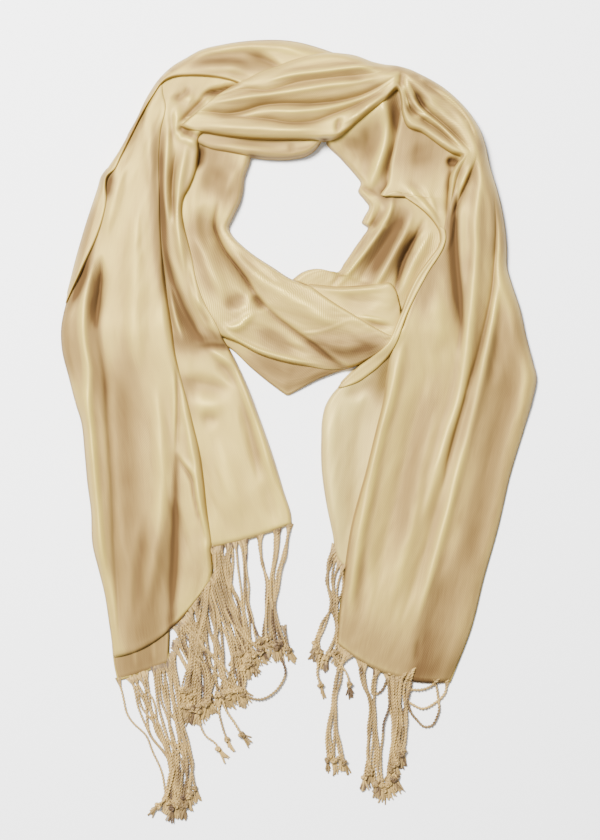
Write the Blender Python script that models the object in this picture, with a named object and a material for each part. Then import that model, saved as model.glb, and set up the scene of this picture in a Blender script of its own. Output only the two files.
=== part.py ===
"""A pashmina shawl with a knotted fringe, wound once round a neck and laid flat on a table.

Metres, +Z up. The table is z = 0, the neck opening looks along Z, the two tails run down -Y.
Each stretch of cloth that shows is one closed body. Hidden layers belong to the stretch that
covers them, so a covered stretch stops a seam gap short of the fold that lies over it.
"""

from collections import namedtuple
from math import cos, hypot, pi

import bmesh
import bpy
import numpy as np

MM = 0.001
CENTRE_X = 0.5      # middle of the laid-out shawl, in the tables' millimetres
CENTRE_Y = 1.5
SEAM_GAP = 0.3      # clear space between neighbouring stretches
WALL = 2.4          # thinnest cloth, two layers pressed flat
CUTTER_LOW = -10.0
CUTTER_HIGH = 70.0

# One row for each place along a stretch. The cloth spans from its outer edge to its inner
# edge, which faces the neck or the other tail; rises are its heights above the table there,
# and bow carries the middle of the row on along the stretch.
Section = namedtuple(
    "Section", "outer_x outer_y inner_x inner_y outer_rise inner_rise bow", defaults=(0.0,)
)
# One row for each main fold: a soft ridge, or a trough where its rise is negative.
Fold = namedtuple("Fold", "rise spread route")
# How a stretch is made: cells along and across, and how far its two sides round off.
Stretch = namedtuple("Stretch", "along across outer_roll inner_roll sections folds")

STRETCHES = {
    # Back layer of the left tail, which shows beside the front layer.
    "left_tail_back": Stretch(9, 6, 0, 7, (
        Section(-110, 78, -76, 76, 8, 8),
        Section(-112, 60, -53.5, 60, 7, 8),
        Section(-114, 42, -44, 42, 6, 8),
        Section(-114, 10, -31, 10, 6, 8),
        Section(-108, -25, -19, -25, 6, 7),
        Section(-100, -50, -11.5, -50, 6, 6),
        Section(-92, -72, -6.5, -66, 5, 5),
        Section(-88, -97, -5, -76, 4, 4, 3),
    ), (
        Fold(-2.5, 12, ((-85, 33), (-66, 30), (-50, 27))),
        Fold(3, 9, ((-50, 50), (-38, 25), (-28, -5), (-16, -40))),
    )),
    # Lower corner of cloth that hangs out below the front of the neck.
    "front_corner": Stretch(8, 3, 3, 0, (
        Section(-55, 64, -50, 78, 5, 8),
        Section(-38, 50, -34, 74, 5, 8),
        Section(-20, 35.5, -14, 70, 5, 8),
        Section(-8.5, 28, 0, 66, 4, 8),
        Section(15, 40, 18, 62, 5, 8),
        Section(32, 46.5, 36, 62, 5, 8),
        Section(50, 52, 54, 66, 5, 8),
    ), ()),
    # Right side of the neck, coming down inside the right tail.
    "right_neck": Stretch(14, 7, 0, 6, (
        Section(98, 276, 44, 270, 14, 12),
        Section(96, 244, 22, 236, 14, 9),
        Section(92, 224, 35, 218, 14, 10),
        Section(88, 206, 49.5, 201, 14, 12),
        Section(94, 192, 51, 187, 14, 12),
        Section(106, 178, 56, 178, 14, 12),
        Section(116, 164, 51.5, 167, 14, 11),
        Section(118, 150, 55, 161.5, 13, 12),
        Section(110, 136, 47.5, 150, 13, 12),
        Section(102, 120, 38, 136, 13, 12),
        Section(94, 108, 29, 127.5, 12, 12),
        Section(88, 100, 13, 130, 12, 11),
        Section(80, 92, -4, 122, 12, 11),
    ), (
        Fold(7, 8, ((72, 268), (71, 240), (66, 215), (57, 190))),
        Fold(-6, 7, ((84, 262), (81, 240), (76, 218), (74, 195))),
        Fold(5, 7, ((78, 190), (72, 168), (60, 148), (46, 132))),
    )),
    # Pale back layer of the right tail.
    "right_tail_back": Stretch(8, 4, 0, 6, (
        Section(86, 60, 58, 48, 8, 7),
        Section(85, 44, 43, 41, 8, 7),
        Section(84, 32, 32.5, 34, 7, 7),
        Section(82, 20, 23, 21, 7, 7),
        Section(76, 0, 19, 0, 7, 7),
        Section(70, -30, 19, -30, 7, 7),
        Section(62, -60, 23, -60, 6, 6),
        Section(56, -85, 28, -85, 6, 5),
        Section(54, -103, 31, -103, 5, 5),
        Section(54, -124, 38, -113.5, 4, 4),
    ), (
        Fold(2.5, 9, ((34, 20), (30, -20), (31, -60))),
    )),
    # Inner fold behind the neck, below the top pleats.
    "back_neck": Stretch(10, 3, 0, 5, (
        Section(-88, 244, -83, 231, 15, 14),
        Section(-72, 252, -67, 224.5, 16, 14),
        Section(-48, 252, -45, 220.5, 16, 14),
        Section(-25, 252, -24, 217.5, 16, 14),
        Section(-4, 252, -3, 218, 16, 14),
        Section(9, 252, 9, 221.5, 16, 14),
        Section(20, 252, 17.5, 230, 16, 14),
        Section(28, 252, 24, 236, 16, 15),
    ), ()),
    # Right end of the front of the neck, folded over the neck's right side.
    "front_fold": Stretch(8, 4, 0, 3, (
        Section(6, 96, 10, 117, 16, 14),
        Section(22, 88, 30, 115.5, 17, 15),
        Section(42, 76, 50, 116, 18, 16),
        Section(60, 68, 68, 117.5, 18, 17),
        Section(74, 68, 77.5, 115, 18, 17),
        Section(82, 76, 81, 104, 18, 17),
    ), ()),
    # Left side and front of the neck: a U of cloth under the chin.
    "front_neck": Stretch(20, 9, 5, 6, (
        Section(-92, 244, -36, 236, 12, 12),
        Section(-96, 222, -38, 219, 12, 12),
        Section(-102, 203, -43, 203, 13, 12),
        Section(-104, 183, -46, 188, 14, 12),
        Section(-103, 163, -55, 163, 14, 12),
        Section(-98, 143, -47, 150, 15, 13),
        Section(-90, 121, -33, 139.5, 16, 14),
        Section(-78, 102, -20, 131, 18, 15),
        Section(-66, 87, -6, 122.5, 20, 16),
        Section(-53, 73, 8, 116, 20, 18),
        Section(-31, 60.5, 25, 105, 20, 20),
        Section(-2, 52.5, 40, 95, 20, 22),
        Section(24, 48.5, 54, 86, 20, 22),
        Section(50, 54, 67, 78.5, 20, 22),
        Section(74, 66, 80, 76, 20, 20),
    ), (
        Fold(-5, 5, ((-64, 182), (-66, 163), (-59, 145), (-42, 120), (-25, 97))),
        Fold(-4, 9, ((-56, 103), (-46, 98), (-38, 92))),
        Fold(5, 8, ((-72, 170), (-68, 140), (-58, 112))),
        Fold(4, 9, ((-36, 118), (-5, 98), (24, 76))),
    )),
    # Gathered folds that run down the left side, between the tail and the neck.
    "left_pleats": Stretch(14, 6, 0, 5, (
        Section(-104, 283.5, -60, 282, 14, 14),
        Section(-112, 268, -68, 266, 16, 16),
        Section(-116, 250, -80, 247, 17, 18),
        Section(-120, 229, -83, 229, 18, 20),
        Section(-122, 206, -82.5, 205, 18, 20),
        Section(-122, 185, -91, 186, 18, 20),
        Section(-121, 165, -91.5, 165, 18, 20),
        Section(-120, 140, -85.5, 142, 18, 20),
        Section(-118, 118, -81, 118, 17, 19),
        Section(-114, 98, -73.5, 98, 16, 17),
        Section(-112, 82, -65, 84, 14, 14),
        Section(-108, 66, -58, 71, 12, 12),
        Section(-104, 56, -54, 63, 9, 9, 2),
    ), (
        Fold(4, 6, ((-105, 215), (-105, 185), (-100, 155))),
        Fold(-6, 6, ((-104, 135), (-97, 110), (-89, 88), (-82, 72))),
        Fold(4, 6, ((-92, 215), (-98, 185), (-95, 150), (-86, 110))),
    )),
    # Turned layer that reaches below the hem of the left tail's front.
    "left_tail_under": Stretch(4, 4, 2, 0, (
        Section(-149, -150, -108, -140, 4, 5),
        Section(-148, -175, -106, -165, 4, 4),
        Section(-147.5, -188, -104, -178, 3.4, 3.4),
        Section(-145.5, -202, -104, -187, 3, 3, 1),
    ), ()),
    # Front layer of the left tail, from the crown of the wrap to its hem.
    "left_tail_front": Stretch(22, 10, 9, 5, (
        Section(-108.5, 281.5, -97, 283, 14, 15),
        Section(-119, 266.5, -103, 262, 16, 17),
        Section(-134.5, 237, -110, 235, 18, 18),
        Section(-148, 212, -112, 205, 18, 18),
        Section(-157, 185, -110.5, 180, 17, 18),
        Section(-168, 150, -109.5, 150, 16, 18),
        Section(-180, 120, -107, 120, 15, 18),
        Section(-188.5, 95, -103.5, 95, 14, 17),
        Section(-190.5, 68, -100, 68, 13, 16),
        Section(-184.5, 42, -95, 45, 12, 14),
        Section(-175, 8, -85, 8, 11, 12),
        Section(-171, -30, -77, -30, 10, 11),
        Section(-166, -75, -73, -72, 9, 10),
        Section(-163, -105, -70, -95, 8, 9, 4),
        Section(-156, -140, -69.5, -108, 7, 7, 9),
        Section(-149, -182, -69, -118, 5, 5, 14),
    ), (
        Fold(-6, 7, ((-172, 120), (-163, 96), (-158, 60), (-153, 20), (-150, -60))),
        Fold(4, 8, ((-165, 135), (-170, 95), (-169, 55), (-166, 0), (-160, -80))),
        Fold(-4, 14, ((-138, 10), (-136, -40), (-132, -100))),
        Fold(-5, 7, ((-97, 10), (-98, -50), (-98, -90), (-100, -125))),
    )),
    # Outermost wrap: its free edge lies over the left tail and the crown.
    "outer_band": Stretch(24, 3, 6, 2, (
        Section(-187, 103, -184.5, 104, 12, 12),
        Section(-184, 118, -178, 120, 15, 16),
        Section(-176, 150, -162, 150, 17, 19),
        Section(-166, 181, -153.5, 184, 18, 20),
        Section(-158, 204, -152.5, 202, 18, 20),
        Section(-149.5, 216, -145, 210, 18, 20),
        Section(-137.5, 238, -132, 236, 18, 20),
        Section(-122.5, 267, -116, 266, 17, 19),
        Section(-111, 283, -106, 279, 17, 19),
        Section(-98, 294.5, -99, 281.5, 17, 19),
        Section(-80, 305, -80, 281, 17, 19),
        Section(-60, 310.5, -60, 276, 17, 19),
        Section(-40, 313.5, -42, 272, 17, 20),
        Section(-20, 314.5, -28, 268, 17, 20),
        Section(0, 312.5, 0, 270, 17, 20),
        Section(20, 306.5, 20, 272, 16, 19),
        Section(40, 300, 40, 276, 14, 16),
        Section(60, 290, 60, 280, 12, 12),
    ), (
        Fold(-4, 8, ((-70, 300), (-45, 300), (-18, 292))),
    )),
    # Inner panel of the right tail, seen above the turned edge.
    "tail_inner_panel": Stretch(9, 5, 0, 3, (
        Section(134, 236, 80, 246, 17, 15),
        Section(132, 222, 77, 226, 17, 15),
        Section(130, 205, 73.5, 208, 17, 15),
        Section(128, 192, 70, 193, 17, 16),
        Section(126, 180, 82, 188.5, 17, 17),
        Section(125, 170, 93, 180.5, 18, 18),
        Section(124, 163, 103, 172.5, 18, 19),
        Section(122, 156, 110.5, 163, 18, 18),
    ), (
        Fold(3, 8, ((80, 196), (96, 184), (108, 170))),
    )),
    # Pleats across the crown, from the left kink to the first right-hand pinch.
    "top_pleats": Stretch(16, 9, 4, 5, (
        Section(-60, 271, -94, 243, 24, 22),
        Section(-53, 275, -84, 238.5, 25, 23),
        Section(-44, 279, -60, 235, 26, 24),
        Section(-30, 286, -35, 232.5, 26, 25),
        Section(-15, 292, -12, 232, 26, 26),
        Section(0, 297, 8, 232, 26, 26),
        Section(15, 300.5, 20, 232, 26, 26),
        Section(31, 303, 30, 233, 26, 26),
        Section(45, 301.5, 44, 243, 26, 26),
        Section(60, 296, 58, 255, 27, 26),
        Section(71, 294, 70.5, 264, 28, 26),
        Section(81, 292.5, 80, 271.5, 28, 26),
    ), (
        Fold(-6, 5, ((-72, 255), (-40, 256), (0, 260), (40, 264), (74, 278))),
        Fold(-5, 5, ((-50, 249), (-10, 246), (30, 252), (70, 273))),
        Fold(-5, 5, ((-50, 272), (-20, 270), (20, 278), (60, 284))),
    )),
    # The same pleats turning down between the two right-hand pinches.
    "corner_pleats": Stretch(8, 7, 6, 4, (
        Section(81.6, 292.4, 80.6, 271.4, 28, 26),
        Section(96, 287, 82, 258, 27, 24),
        Section(110, 280, 87, 242.5, 26, 24),
        Section(125, 268, 101, 237, 26, 25),
        Section(138, 254, 112, 228, 26, 25),
        Section(146, 241, 122, 221, 26, 26),
        Section(150.5, 229.5, 129.5, 219.5, 26, 26),
    ), (
        Fold(-7, 4, ((90, 274), (103, 258), (120, 244), (134, 226))),
        Fold(-6, 4, ((86, 268), (94, 250), (112, 236), (130, 221))),
    )),
    # Right tail, from the second pinch to its hem.
    "right_tail": Stretch(22, 10, 8, 4, (
        Section(150.8, 228.7, 129.8, 218.7, 26, 26),
        Section(154, 211, 123, 207, 24, 26),
        Section(160, 192, 120, 192, 22, 25),
        Section(165, 172, 118.5, 175, 21, 24),
        Section(167.5, 150, 116, 153, 20, 23),
        Section(168.5, 131, 105.5, 133, 18, 22),
        Section(176, 106, 91.5, 108, 17, 22),
        Section(184, 75, 79.5, 77.5, 15, 20),
        Section(192, 44, 71.5, 50, 13, 16),
        Section(190, 26, 69, 26, 12, 13),
        Section(182, 0, 62, 0, 11, 12),
        Section(172, -34, 55, -32, 10, 11),
        Section(161, -80, 43.5, -78, 9, 10),
        Section(150, -120, 37, -115, 8, 8),
        Section(138.5, -163, 33, -148, 7, 7, 5),
        Section(122.5, -203, 31, -172, 5, 5, 11),
    ), (
        Fold(-9, 7, ((125, 178), (123, 150), (125, 120), (127, 85), (120, 55))),
        Fold(4, 9, ((146, 210), (144, 150), (139, 90), (132, 30), (112, -30))),
        Fold(4, 8, ((88, 85), (77, 35), (66, -5), (54, -70))),
        Fold(-4, 7, ((158, 180), (155, 110), (141, 45), (122, -25), (112, -60))),
    )),
    # Turned edge of the right tail, from the inner panel down to the back layer.
    "tail_turned_edge": Stretch(16, 2, 1, 1, (
        Section(117.5, 157, 112.5, 160, 20, 20),
        Section(118, 149, 113, 150.5, 21, 21),
        Section(114.5, 140, 109.5, 143, 22, 22),
        Section(108, 131, 103, 134.5, 23, 23),
        Section(101.5, 120, 95.5, 123.5, 23, 23),
        Section(94.5, 107, 88.5, 109.5, 23, 23),
        Section(87.5, 91, 82, 93.5, 22, 22),
        Section(82, 76, 76.5, 79, 22, 22),
        Section(77, 64, 71.5, 67.5, 21, 22),
        Section(68.5, 54.5, 62, 61, 16, 18),
        Section(57.5, 44.5, 50.5, 53, 12, 12),
        Section(47.5, 38, 41, 44.5, 10, 10),
        Section(39, 34.5, 34, 37.5, 9, 9),
    ), ()),
    # Fringe: the plain reach of each group of knotted strands.
    "fringe_left_front": Stretch(7, 3, 1, 1, (
        Section(-144.5, -203.5, -104.5, -188.5, 4, 4),
        Section(-133, -222, -99, -215, 5, 5),
        Section(-122, -247, -93, -240, 6, 6),
        Section(-111, -268, -83, -262, 7, 7),
        Section(-107, -290, -79, -284, 7, 7),
        Section(-116, -304, -80, -300, 6, 6),
        Section(-110, -311, -88, -308, 5, 5),
    ), ()),
    "fringe_left_middle": Stretch(6, 3, 1, 1, (
        Section(-101.5, -168, -67, -121, 4, 4),
        Section(-98, -190, -62, -160, 5, 5),
        Section(-92, -212, -50, -190, 5, 5),
        Section(-84, -226, -44, -212, 5, 5),
        Section(-72, -244, -40, -236, 5, 5),
        Section(-66, -266, -38, -254, 4, 4),
    ), ()),
    "fringe_left_back": Stretch(5, 3, 1, 1, (
        Section(-72, -101, -5, -78, 4, 4),
        Section(-64, -115, -10, -105, 4, 4),
        Section(-58, -140, -17, -130, 4, 4),
        Section(-52, -170, -10, -165, 5, 5),
        Section(-43, -200, -8, -188, 4, 4),
    ), ()),
    "fringe_right_back": Stretch(6, 3, 1, 1, (
        Section(40, -126, 32, -108, 4, 4),
        Section(36, -136, 22, -122, 4, 4),
        Section(32, -156, 18, -148, 4, 4),
        Section(27, -180, 11, -174, 4, 4),
        Section(24, -200, 10, -196, 4, 4),
        Section(22, -218, 14, -218, 4, 4),
    ), ()),
    "fringe_right_front": Stretch(7, 6, 1, 1, (
        Section(121.5, -206, 29.5, -175.5, 4, 4, 10),
        Section(115, -225, 26, -200, 5, 5),
        Section(98, -245, 25, -225, 5, 5),
        Section(90, -262, 24, -252, 5, 5),
        Section(86, -280, 25, -276, 5, 5),
        Section(74, -297, 46, -294, 5, 5),
    ), ()),
}

# Which stretches lie over which, so the covered one stops at the edge of the other.
COVERED_BY = {
    "left_tail_back": ("front_neck", "front_corner", "left_pleats", "left_tail_front"),
    "front_corner": ("front_neck", "left_pleats", "tail_turned_edge"),
    "right_neck": (
        "front_neck", "front_fold", "top_pleats", "corner_pleats", "tail_inner_panel",
        "right_tail", "tail_turned_edge",
    ),
    "right_tail_back": ("right_tail", "tail_turned_edge", "front_neck"),
    "back_neck": ("top_pleats", "left_pleats"),
    "front_fold": ("front_neck", "right_tail", "tail_turned_edge"),
    "front_neck": ("left_pleats", "back_neck", "top_pleats", "right_tail", "tail_turned_edge"),
    "left_pleats": ("left_tail_front", "outer_band", "top_pleats"),
    "left_tail_under": ("left_tail_front",),
    "left_tail_front": ("outer_band",),
    "outer_band": ("top_pleats",),
    "tail_inner_panel": ("corner_pleats", "right_tail", "tail_turned_edge"),
    "right_tail": ("tail_turned_edge",),
    "fringe_left_middle": ("left_tail_front", "left_tail_under", "fringe_left_front"),
    "fringe_left_back": ("left_tail_back", "left_tail_front", "fringe_left_middle"),
    "fringe_right_back": ("right_tail_back", "right_tail", "fringe_right_front"),
    "fringe_right_front": ("right_tail",),
    "fringe_left_front": ("left_tail_under", "left_tail_front"),
}

# Finish of each kind of piece: base colour, roughness, metallic.
SATIN = ((0.66, 0.52, 0.31, 1.0), 0.42, 0.0)
SATIN_BACK = ((0.72, 0.60, 0.37, 1.0), 0.50, 0.0)
STRAND = ((0.58, 0.45, 0.27, 1.0), 0.60, 0.0)


def clear_scene():
    for thing in list(bpy.data.objects):
        bpy.data.objects.remove(thing, do_unlink=True)


def through(rows, places):
    """Smooth curve through the rows, read at places from 0 to 1 along it."""
    rows = np.asarray(rows, float)
    steps = np.hypot(*np.diff(rows[:, :2] + rows[:, 2:4], axis=0).T) + 1e-6
    knots = np.concatenate([[0.0], np.cumsum(steps)])
    knots /= knots[-1]
    slopes = np.gradient(rows, knots, axis=0, edge_order=1)
    at = np.clip(np.searchsorted(knots, places, side="right") - 1, 0, len(knots) - 2)
    span = (knots[at + 1] - knots[at])[:, None]
    u = (places - knots[at])[:, None] / span
    return (
        rows[at] * (1 + 2 * u) * (1 - u) ** 2
        + slopes[at] * span * u * (1 - u) ** 2
        + rows[at + 1] * u * u * (3 - 2 * u)
        + slopes[at + 1] * span * u * u * (u - 1)
    )


def distance(x, y, route):
    """Distance of each point from a route of straight runs."""
    nearest = np.full(np.shape(x), np.inf)
    for (ax, ay), (bx, by) in zip(route, route[1:]):
        dx, dy = bx - ax, by - ay
        along = np.clip(((x - ax) * dx + (y - ay) * dy) / (dx * dx + dy * dy), 0, 1)
        nearest = np.minimum(nearest, np.hypot(x - ax - along * dx, y - ay - along * dy))
    return nearest


def rounded(from_side, roll):
    """Quarter round beside a folded edge: 0 at the edge, 1 from the roll's width inwards."""
    if not roll:
        return np.ones_like(from_side)
    return np.sqrt(1 - (1 - np.minimum(from_side / roll, 1)) ** 2)


def lay(stretch, along, across):
    """Places on a stretch, along and across from 0 to 1: x, y and height in millimetres."""
    row = through(stretch.sections, along).T
    outer, inner = row[0:2], row[2:4]
    x, y = outer + (inner - outer) * across
    ahead = np.clip(along + 0.01, 0, 1)
    behind = np.clip(along - 0.01, 0, 1)
    middle = through(stretch.sections, ahead).T - through(stretch.sections, behind).T
    heading = middle[0:2] + middle[2:4]
    heading /= np.hypot(*heading) + 1e-9
    x, y = np.array([x, y]) + heading * row[6] * 4 * across * (1 - across)
    height = row[4] + (row[5] - row[4]) * across
    for fold in stretch.folds:
        height = height + fold.rise * np.exp(-((distance(x, y, fold.route) / fold.spread) ** 2))
    width = np.hypot(*(inner - outer))
    height = height * rounded(across * width, stretch.outer_roll)
    height = height * rounded((1 - across) * width, stretch.inner_roll)
    return x, y, np.maximum(height, WALL)


def finish(name, mesh_source, finish_values):
    """Turns a bmesh in millimetres into a named object with its own material."""
    for vertex in mesh_source.verts:
        vertex.co.x = (vertex.co.x - CENTRE_X) * MM
        vertex.co.y = (vertex.co.y - CENTRE_Y) * MM
        vertex.co.z *= MM
    bmesh.ops.recalc_face_normals(mesh_source, faces=mesh_source.faces)
    mesh = bpy.data.meshes.new(name)
    mesh_source.to_mesh(mesh)
    mesh_source.free()
    thing = bpy.data.objects.new(name, mesh)
    bpy.context.scene.collection.objects.link(thing)
    if finish_values:
        colour, roughness, metallic = finish_values
        material = bpy.data.materials.new(name)
        material.use_nodes = True
        shader = material.node_tree.nodes["Principled BSDF"]
        shader.inputs["Base Color"].default_value = colour
        shader.inputs["Roughness"].default_value = roughness
        shader.inputs["Metallic"].default_value = metallic
        mesh.materials.append(material)
        mesh.shade_smooth()
        mesh.set_sharp_from_angle(angle=pi / 4)
    return thing


def cloth_solid(name, stretch, finish_values):
    """A stretch as one closed body: its laid surface, closed by a flat underside."""
    solid = bmesh.new()
    bmesh.ops.create_grid(
        solid, x_segments=stretch.along, y_segments=stretch.across, size=0.5
    )
    surface = list(solid.verts)
    along = np.array([v.co.x + 0.5 for v in surface])
    across = np.array([v.co.y + 0.5 for v in surface])
    laid = np.array(lay(stretch, along, across)).T
    for vertex, place in zip(surface, laid):
        vertex.co = place
    base = bmesh.ops.extrude_face_region(solid, geom=list(solid.faces), use_keep_orig=True)
    for part in base["geom"]:
        if isinstance(part, bmesh.types.BMVert):
            part.co.z = 0.0
    bmesh.ops.triangulate(solid, faces=list(solid.faces))
    return finish(name, solid, finish_values)


def outline(stretch):
    """The stretch's edge in plan, once round, on the same straight runs as its solid."""
    ends = np.linspace(0, 1, stretch.along + 1)
    sides = np.linspace(0, 1, stretch.across + 1)
    legs = (
        (ends, np.zeros_like(ends)),
        (np.ones_like(sides), sides),
        (ends[::-1], np.ones_like(ends)),
        (np.zeros_like(sides), sides[::-1]),
    )
    points = []
    for along, across in legs:
        x, y, _ = lay(stretch, along, across)
        points += list(zip(x, y))[:-1]
    return points


def widened(points, gap):
    """An outline moved out by the gap."""
    turning = sum(
        ax * by - bx * ay for (ax, ay), (bx, by) in zip(points, points[1:] + points[:1])
    )
    side = 1 if turning > 0 else -1
    moved = []
    for before, here, after in zip(points[-1:] + points[:-1], points, points[1:] + points[:1]):
        first = (here[0] - before[0], here[1] - before[1])
        second = (after[0] - here[0], after[1] - here[1])
        first_out = (side * first[1] / hypot(*first), -side * first[0] / hypot(*first))
        second_out = (side * second[1] / hypot(*second), -side * second[0] / hypot(*second))
        out = (first_out[0] + second_out[0], first_out[1] + second_out[1])
        reach = gap * 2 / max(hypot(*out) ** 2, 2 * cos(pi / 3))
        moved.append((here[0] + out[0] * reach, here[1] + out[1] * reach))
    return moved


def cutter(name, stretch):
    """An upright prism a seam gap wider than a stretch, which trims what the stretch covers."""
    prism = bmesh.new()
    loop = [
        prism.verts.new((x, y, CUTTER_LOW)) for x, y in widened(outline(stretch), SEAM_GAP)
    ]
    face = prism.faces.new(loop)
    top = bmesh.ops.extrude_face_region(prism, geom=[face], use_keep_orig=True)
    for part in top["geom"]:
        if isinstance(part, bmesh.types.BMVert):
            part.co.z = CUTTER_HIGH
    bmesh.ops.triangulate(prism, faces=list(prism.faces))
    shape = finish("trim_" + name, prism, None)
    shape.hide_render = True
    shape.display_type = "WIRE"
    return shape


def trim(thing, cutters):
    for shape in cutters:
        cut = thing.modifiers.new(shape.name, "BOOLEAN")
        cut.operation = "DIFFERENCE"
        cut.object = shape


def shawl():
    def surface_of(name):
        if name.startswith("fringe"):
            return STRAND
        return SATIN_BACK if name == "right_tail_back" else SATIN

    covering = {name for names in COVERED_BY.values() for name in names}
    cutters = {name: cutter(name, STRETCHES[name]) for name in sorted(covering)}
    for name, stretch in STRETCHES.items():
        solid = cloth_solid(name, stretch, surface_of(name))
        trim(solid, [cutters[upper] for upper in COVERED_BY.get(name, ())])


clear_scene()
shawl()
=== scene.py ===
"""Looks of a satin-twill pashmina shawl with a knotted fringe, wound once and laid flat.

The cloth is built as long stretches. Each is a table of rows across the cloth and a table of
its folds, laid over the stretches already on the table and given a woven thickness.
Tables are in millimetres, on the plan of the laid-out shawl; meshes are in metres.
"""

from collections import namedtuple
from math import cos, sin, tau

import bmesh
import bpy
import numpy as np
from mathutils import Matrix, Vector


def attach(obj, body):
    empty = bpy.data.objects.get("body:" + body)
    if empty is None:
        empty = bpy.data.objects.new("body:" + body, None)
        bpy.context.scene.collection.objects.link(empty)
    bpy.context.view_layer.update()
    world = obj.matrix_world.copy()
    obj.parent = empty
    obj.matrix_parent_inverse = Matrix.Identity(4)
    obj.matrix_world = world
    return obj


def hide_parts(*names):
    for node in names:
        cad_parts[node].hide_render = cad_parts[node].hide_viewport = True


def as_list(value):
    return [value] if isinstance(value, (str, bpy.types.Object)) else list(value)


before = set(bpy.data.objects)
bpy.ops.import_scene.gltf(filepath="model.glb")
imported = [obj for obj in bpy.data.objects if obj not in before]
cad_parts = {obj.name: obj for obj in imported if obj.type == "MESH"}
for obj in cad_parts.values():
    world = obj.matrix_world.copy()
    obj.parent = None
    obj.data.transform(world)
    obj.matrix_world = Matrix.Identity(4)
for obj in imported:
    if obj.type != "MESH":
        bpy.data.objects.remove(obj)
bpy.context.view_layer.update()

MM = 0.001
CENTRE_X = 0.5          # the plan's own middle, which the frame's origin stands under
CENTRE_Y = 1.5
SEED = 11

# ---------------------------------------------------------------- the cloth's own tables

# One stretch of cloth. Sections are rows across it and folds shape it. Shades are painted shade:
# they darken the satin's colour where it lies away from the light, and a negative one is painted
# light. Rolls are the widths over which the sides turn down; hem is the width over which the last
# row comes down to the table, and start the same for a first row that shows.
Cloth = namedtuple(
    "Cloth",
    "nodes flat held sections rests_on outer_roll inner_roll hem start folds shades",
    defaults=((), 0, 0, 0, 0, (), ()),
)
Section = namedtuple(
    "Section", "outer_x outer_y inner_x inner_y outer_rise inner_rise bow", defaults=(0.0,)
)
# A fold or a shade is a rise (or the depth of its painted shade), its widths to the left and right
# of its route, the route, and how sharp it is: 2, when nothing is said, is a soft round form, and
# 1 a pointed one. A negative rise is a crease; a negative shade is painted light.

FRONT_CORNER = Cloth(
    nodes=("front_corner",), flat=(0.055, 0.12), held="folded", outer_roll=1.6,
    sections=(
        (-66, 72, -60, 84, 5, 8), (-54, 65, -49, 80, 5, 8), (-38, 50, -34, 76, 4, 8),
        (-20, 35.3, -14, 72, 4, 8), (-12, 29.5, -6, 70, 4, 8), (-8.5, 27.6, 0, 69, 3.5, 8),
        (-4, 29.8, 5, 68, 4, 8), (15, 40, 20, 66, 5, 9.5), (32, 46.7, 37, 64, 6, 9.5),
        (50, 52, 55, 68, 7, 9.5),
    ),
    folds=(
        (1.2, 4, 4, ((-40, 55), (-12, 38), (15, 46), (40, 53))),
    ),
    shades=(
        (0.9, 14, 14, ((-50, 68), (-25, 52), (-6, 44), (20, 50), (48, 60))),
    ),
)

RIGHT_NECK = Cloth(
    nodes=("right_neck",), flat=(0.13, 0.21), held="gathered", inner_roll=4.5,
    sections=(
        (100, 280, 48, 272, 14, 12), (98, 262, 34, 250, 14, 11), (96, 244, 22.5, 232, 13, 8),
        (92, 224, 35, 217.5, 13, 9), (90, 210, 46, 205, 13, 10), (90, 202, 50.3, 199, 13, 11),
        (94, 193, 48.3, 192, 13, 11), (100, 185, 53, 185.5, 13, 12), (106, 178, 57, 179, 13, 12),
        (112, 171, 53, 171.5, 13, 11), (116, 164, 51.3, 166.5, 13, 11), (118, 156, 56, 163, 13, 12),
        (116, 146, 52, 156, 13, 12), (110, 136, 46, 147.5, 13, 12), (102, 121, 37.5, 135, 13, 12),
        (94, 108, 30.5, 127, 12, 12), (88, 100, 16, 130, 11, 10), (80, 94, 4, 127.5, 10, 9),
        (72, 88, -5, 121, 9, 8),
    ),
    folds=(
        (6.5, 5, 6, ((62, 272), (69, 258), (71.5, 245), (70, 230), (65.5, 215), (60, 200), (55, 188))),
        (-5, 4.5, 8, ((79, 284), (79.5, 262), (80, 244), (79, 230))),
        (-3.6, 2, 3.4, ((80, 240), (77, 225), (73.5, 213), (71.5, 200), (72, 190)), 1.5),
        (9, 10, 15, ((14, 230), (30, 234), (46, 245), (58, 254), (69, 262), (82, 274), (96, 284))),
        (-2.5, 4, 7, ((54, 246), (56, 226), (52, 210)), 1.5),
        (-1.5, 8, 8, ((46, 236), (42, 222))),
        (4.5, 3, 4, ((73, 195), (75.5, 187), (74, 176), (67, 162), (57, 147), (45, 132), (28, 110))),
        (-3.5, 3, 3, ((67, 186), (65, 175), (57, 160), (49, 147), (41, 135), (26, 112)), 1.3),
        (2.6, 2.5, 3, ((61, 184), (59, 171), (50, 156), (42, 143), (22, 112))),
        (-3, 7, 3.5, ((84, 186), (81, 170), (71, 151), (58, 133), (42, 110))),
        (4.5, 4, 5, ((94, 176), (85, 157), (77, 142), (68, 126), (56, 104))),
        (-9, 1.4, 3.4, ((104, 171), (97, 159), (90.5, 147), (85, 136), (81, 122), (77, 104)), 1.3),
        (3, 5, 4, ((110, 164), (100, 148), (92, 134), (86, 118), (80, 100))),
        (-2.5, 2, 2.5, ((46, 198), (56, 192), (66, 187)), 1.2),
    ),
    shades=(
        (0.9, 6, 6, ((58, 196), (66, 190), (76, 187), (88, 184))),
        (0.35, 12, 12, ((50, 262), (48, 240), (48, 205))),
        (0.7, 5, 8, ((79, 286), (79, 262), (80, 240), (78, 225))),
        (0.3, 4, 4, ((80, 236), (74, 215), (72, 195))),
        (1.0, 10, 12, ((92, 188), (83, 168), (72, 148), (62, 131), (52, 112))),
        (0.9, 6, 5, ((94, 156), (88, 145), (83, 133), (80, 120))),
        (0.9, 4, 4, ((71, 204), (70, 190), (66, 184))),
    ),
)

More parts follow.
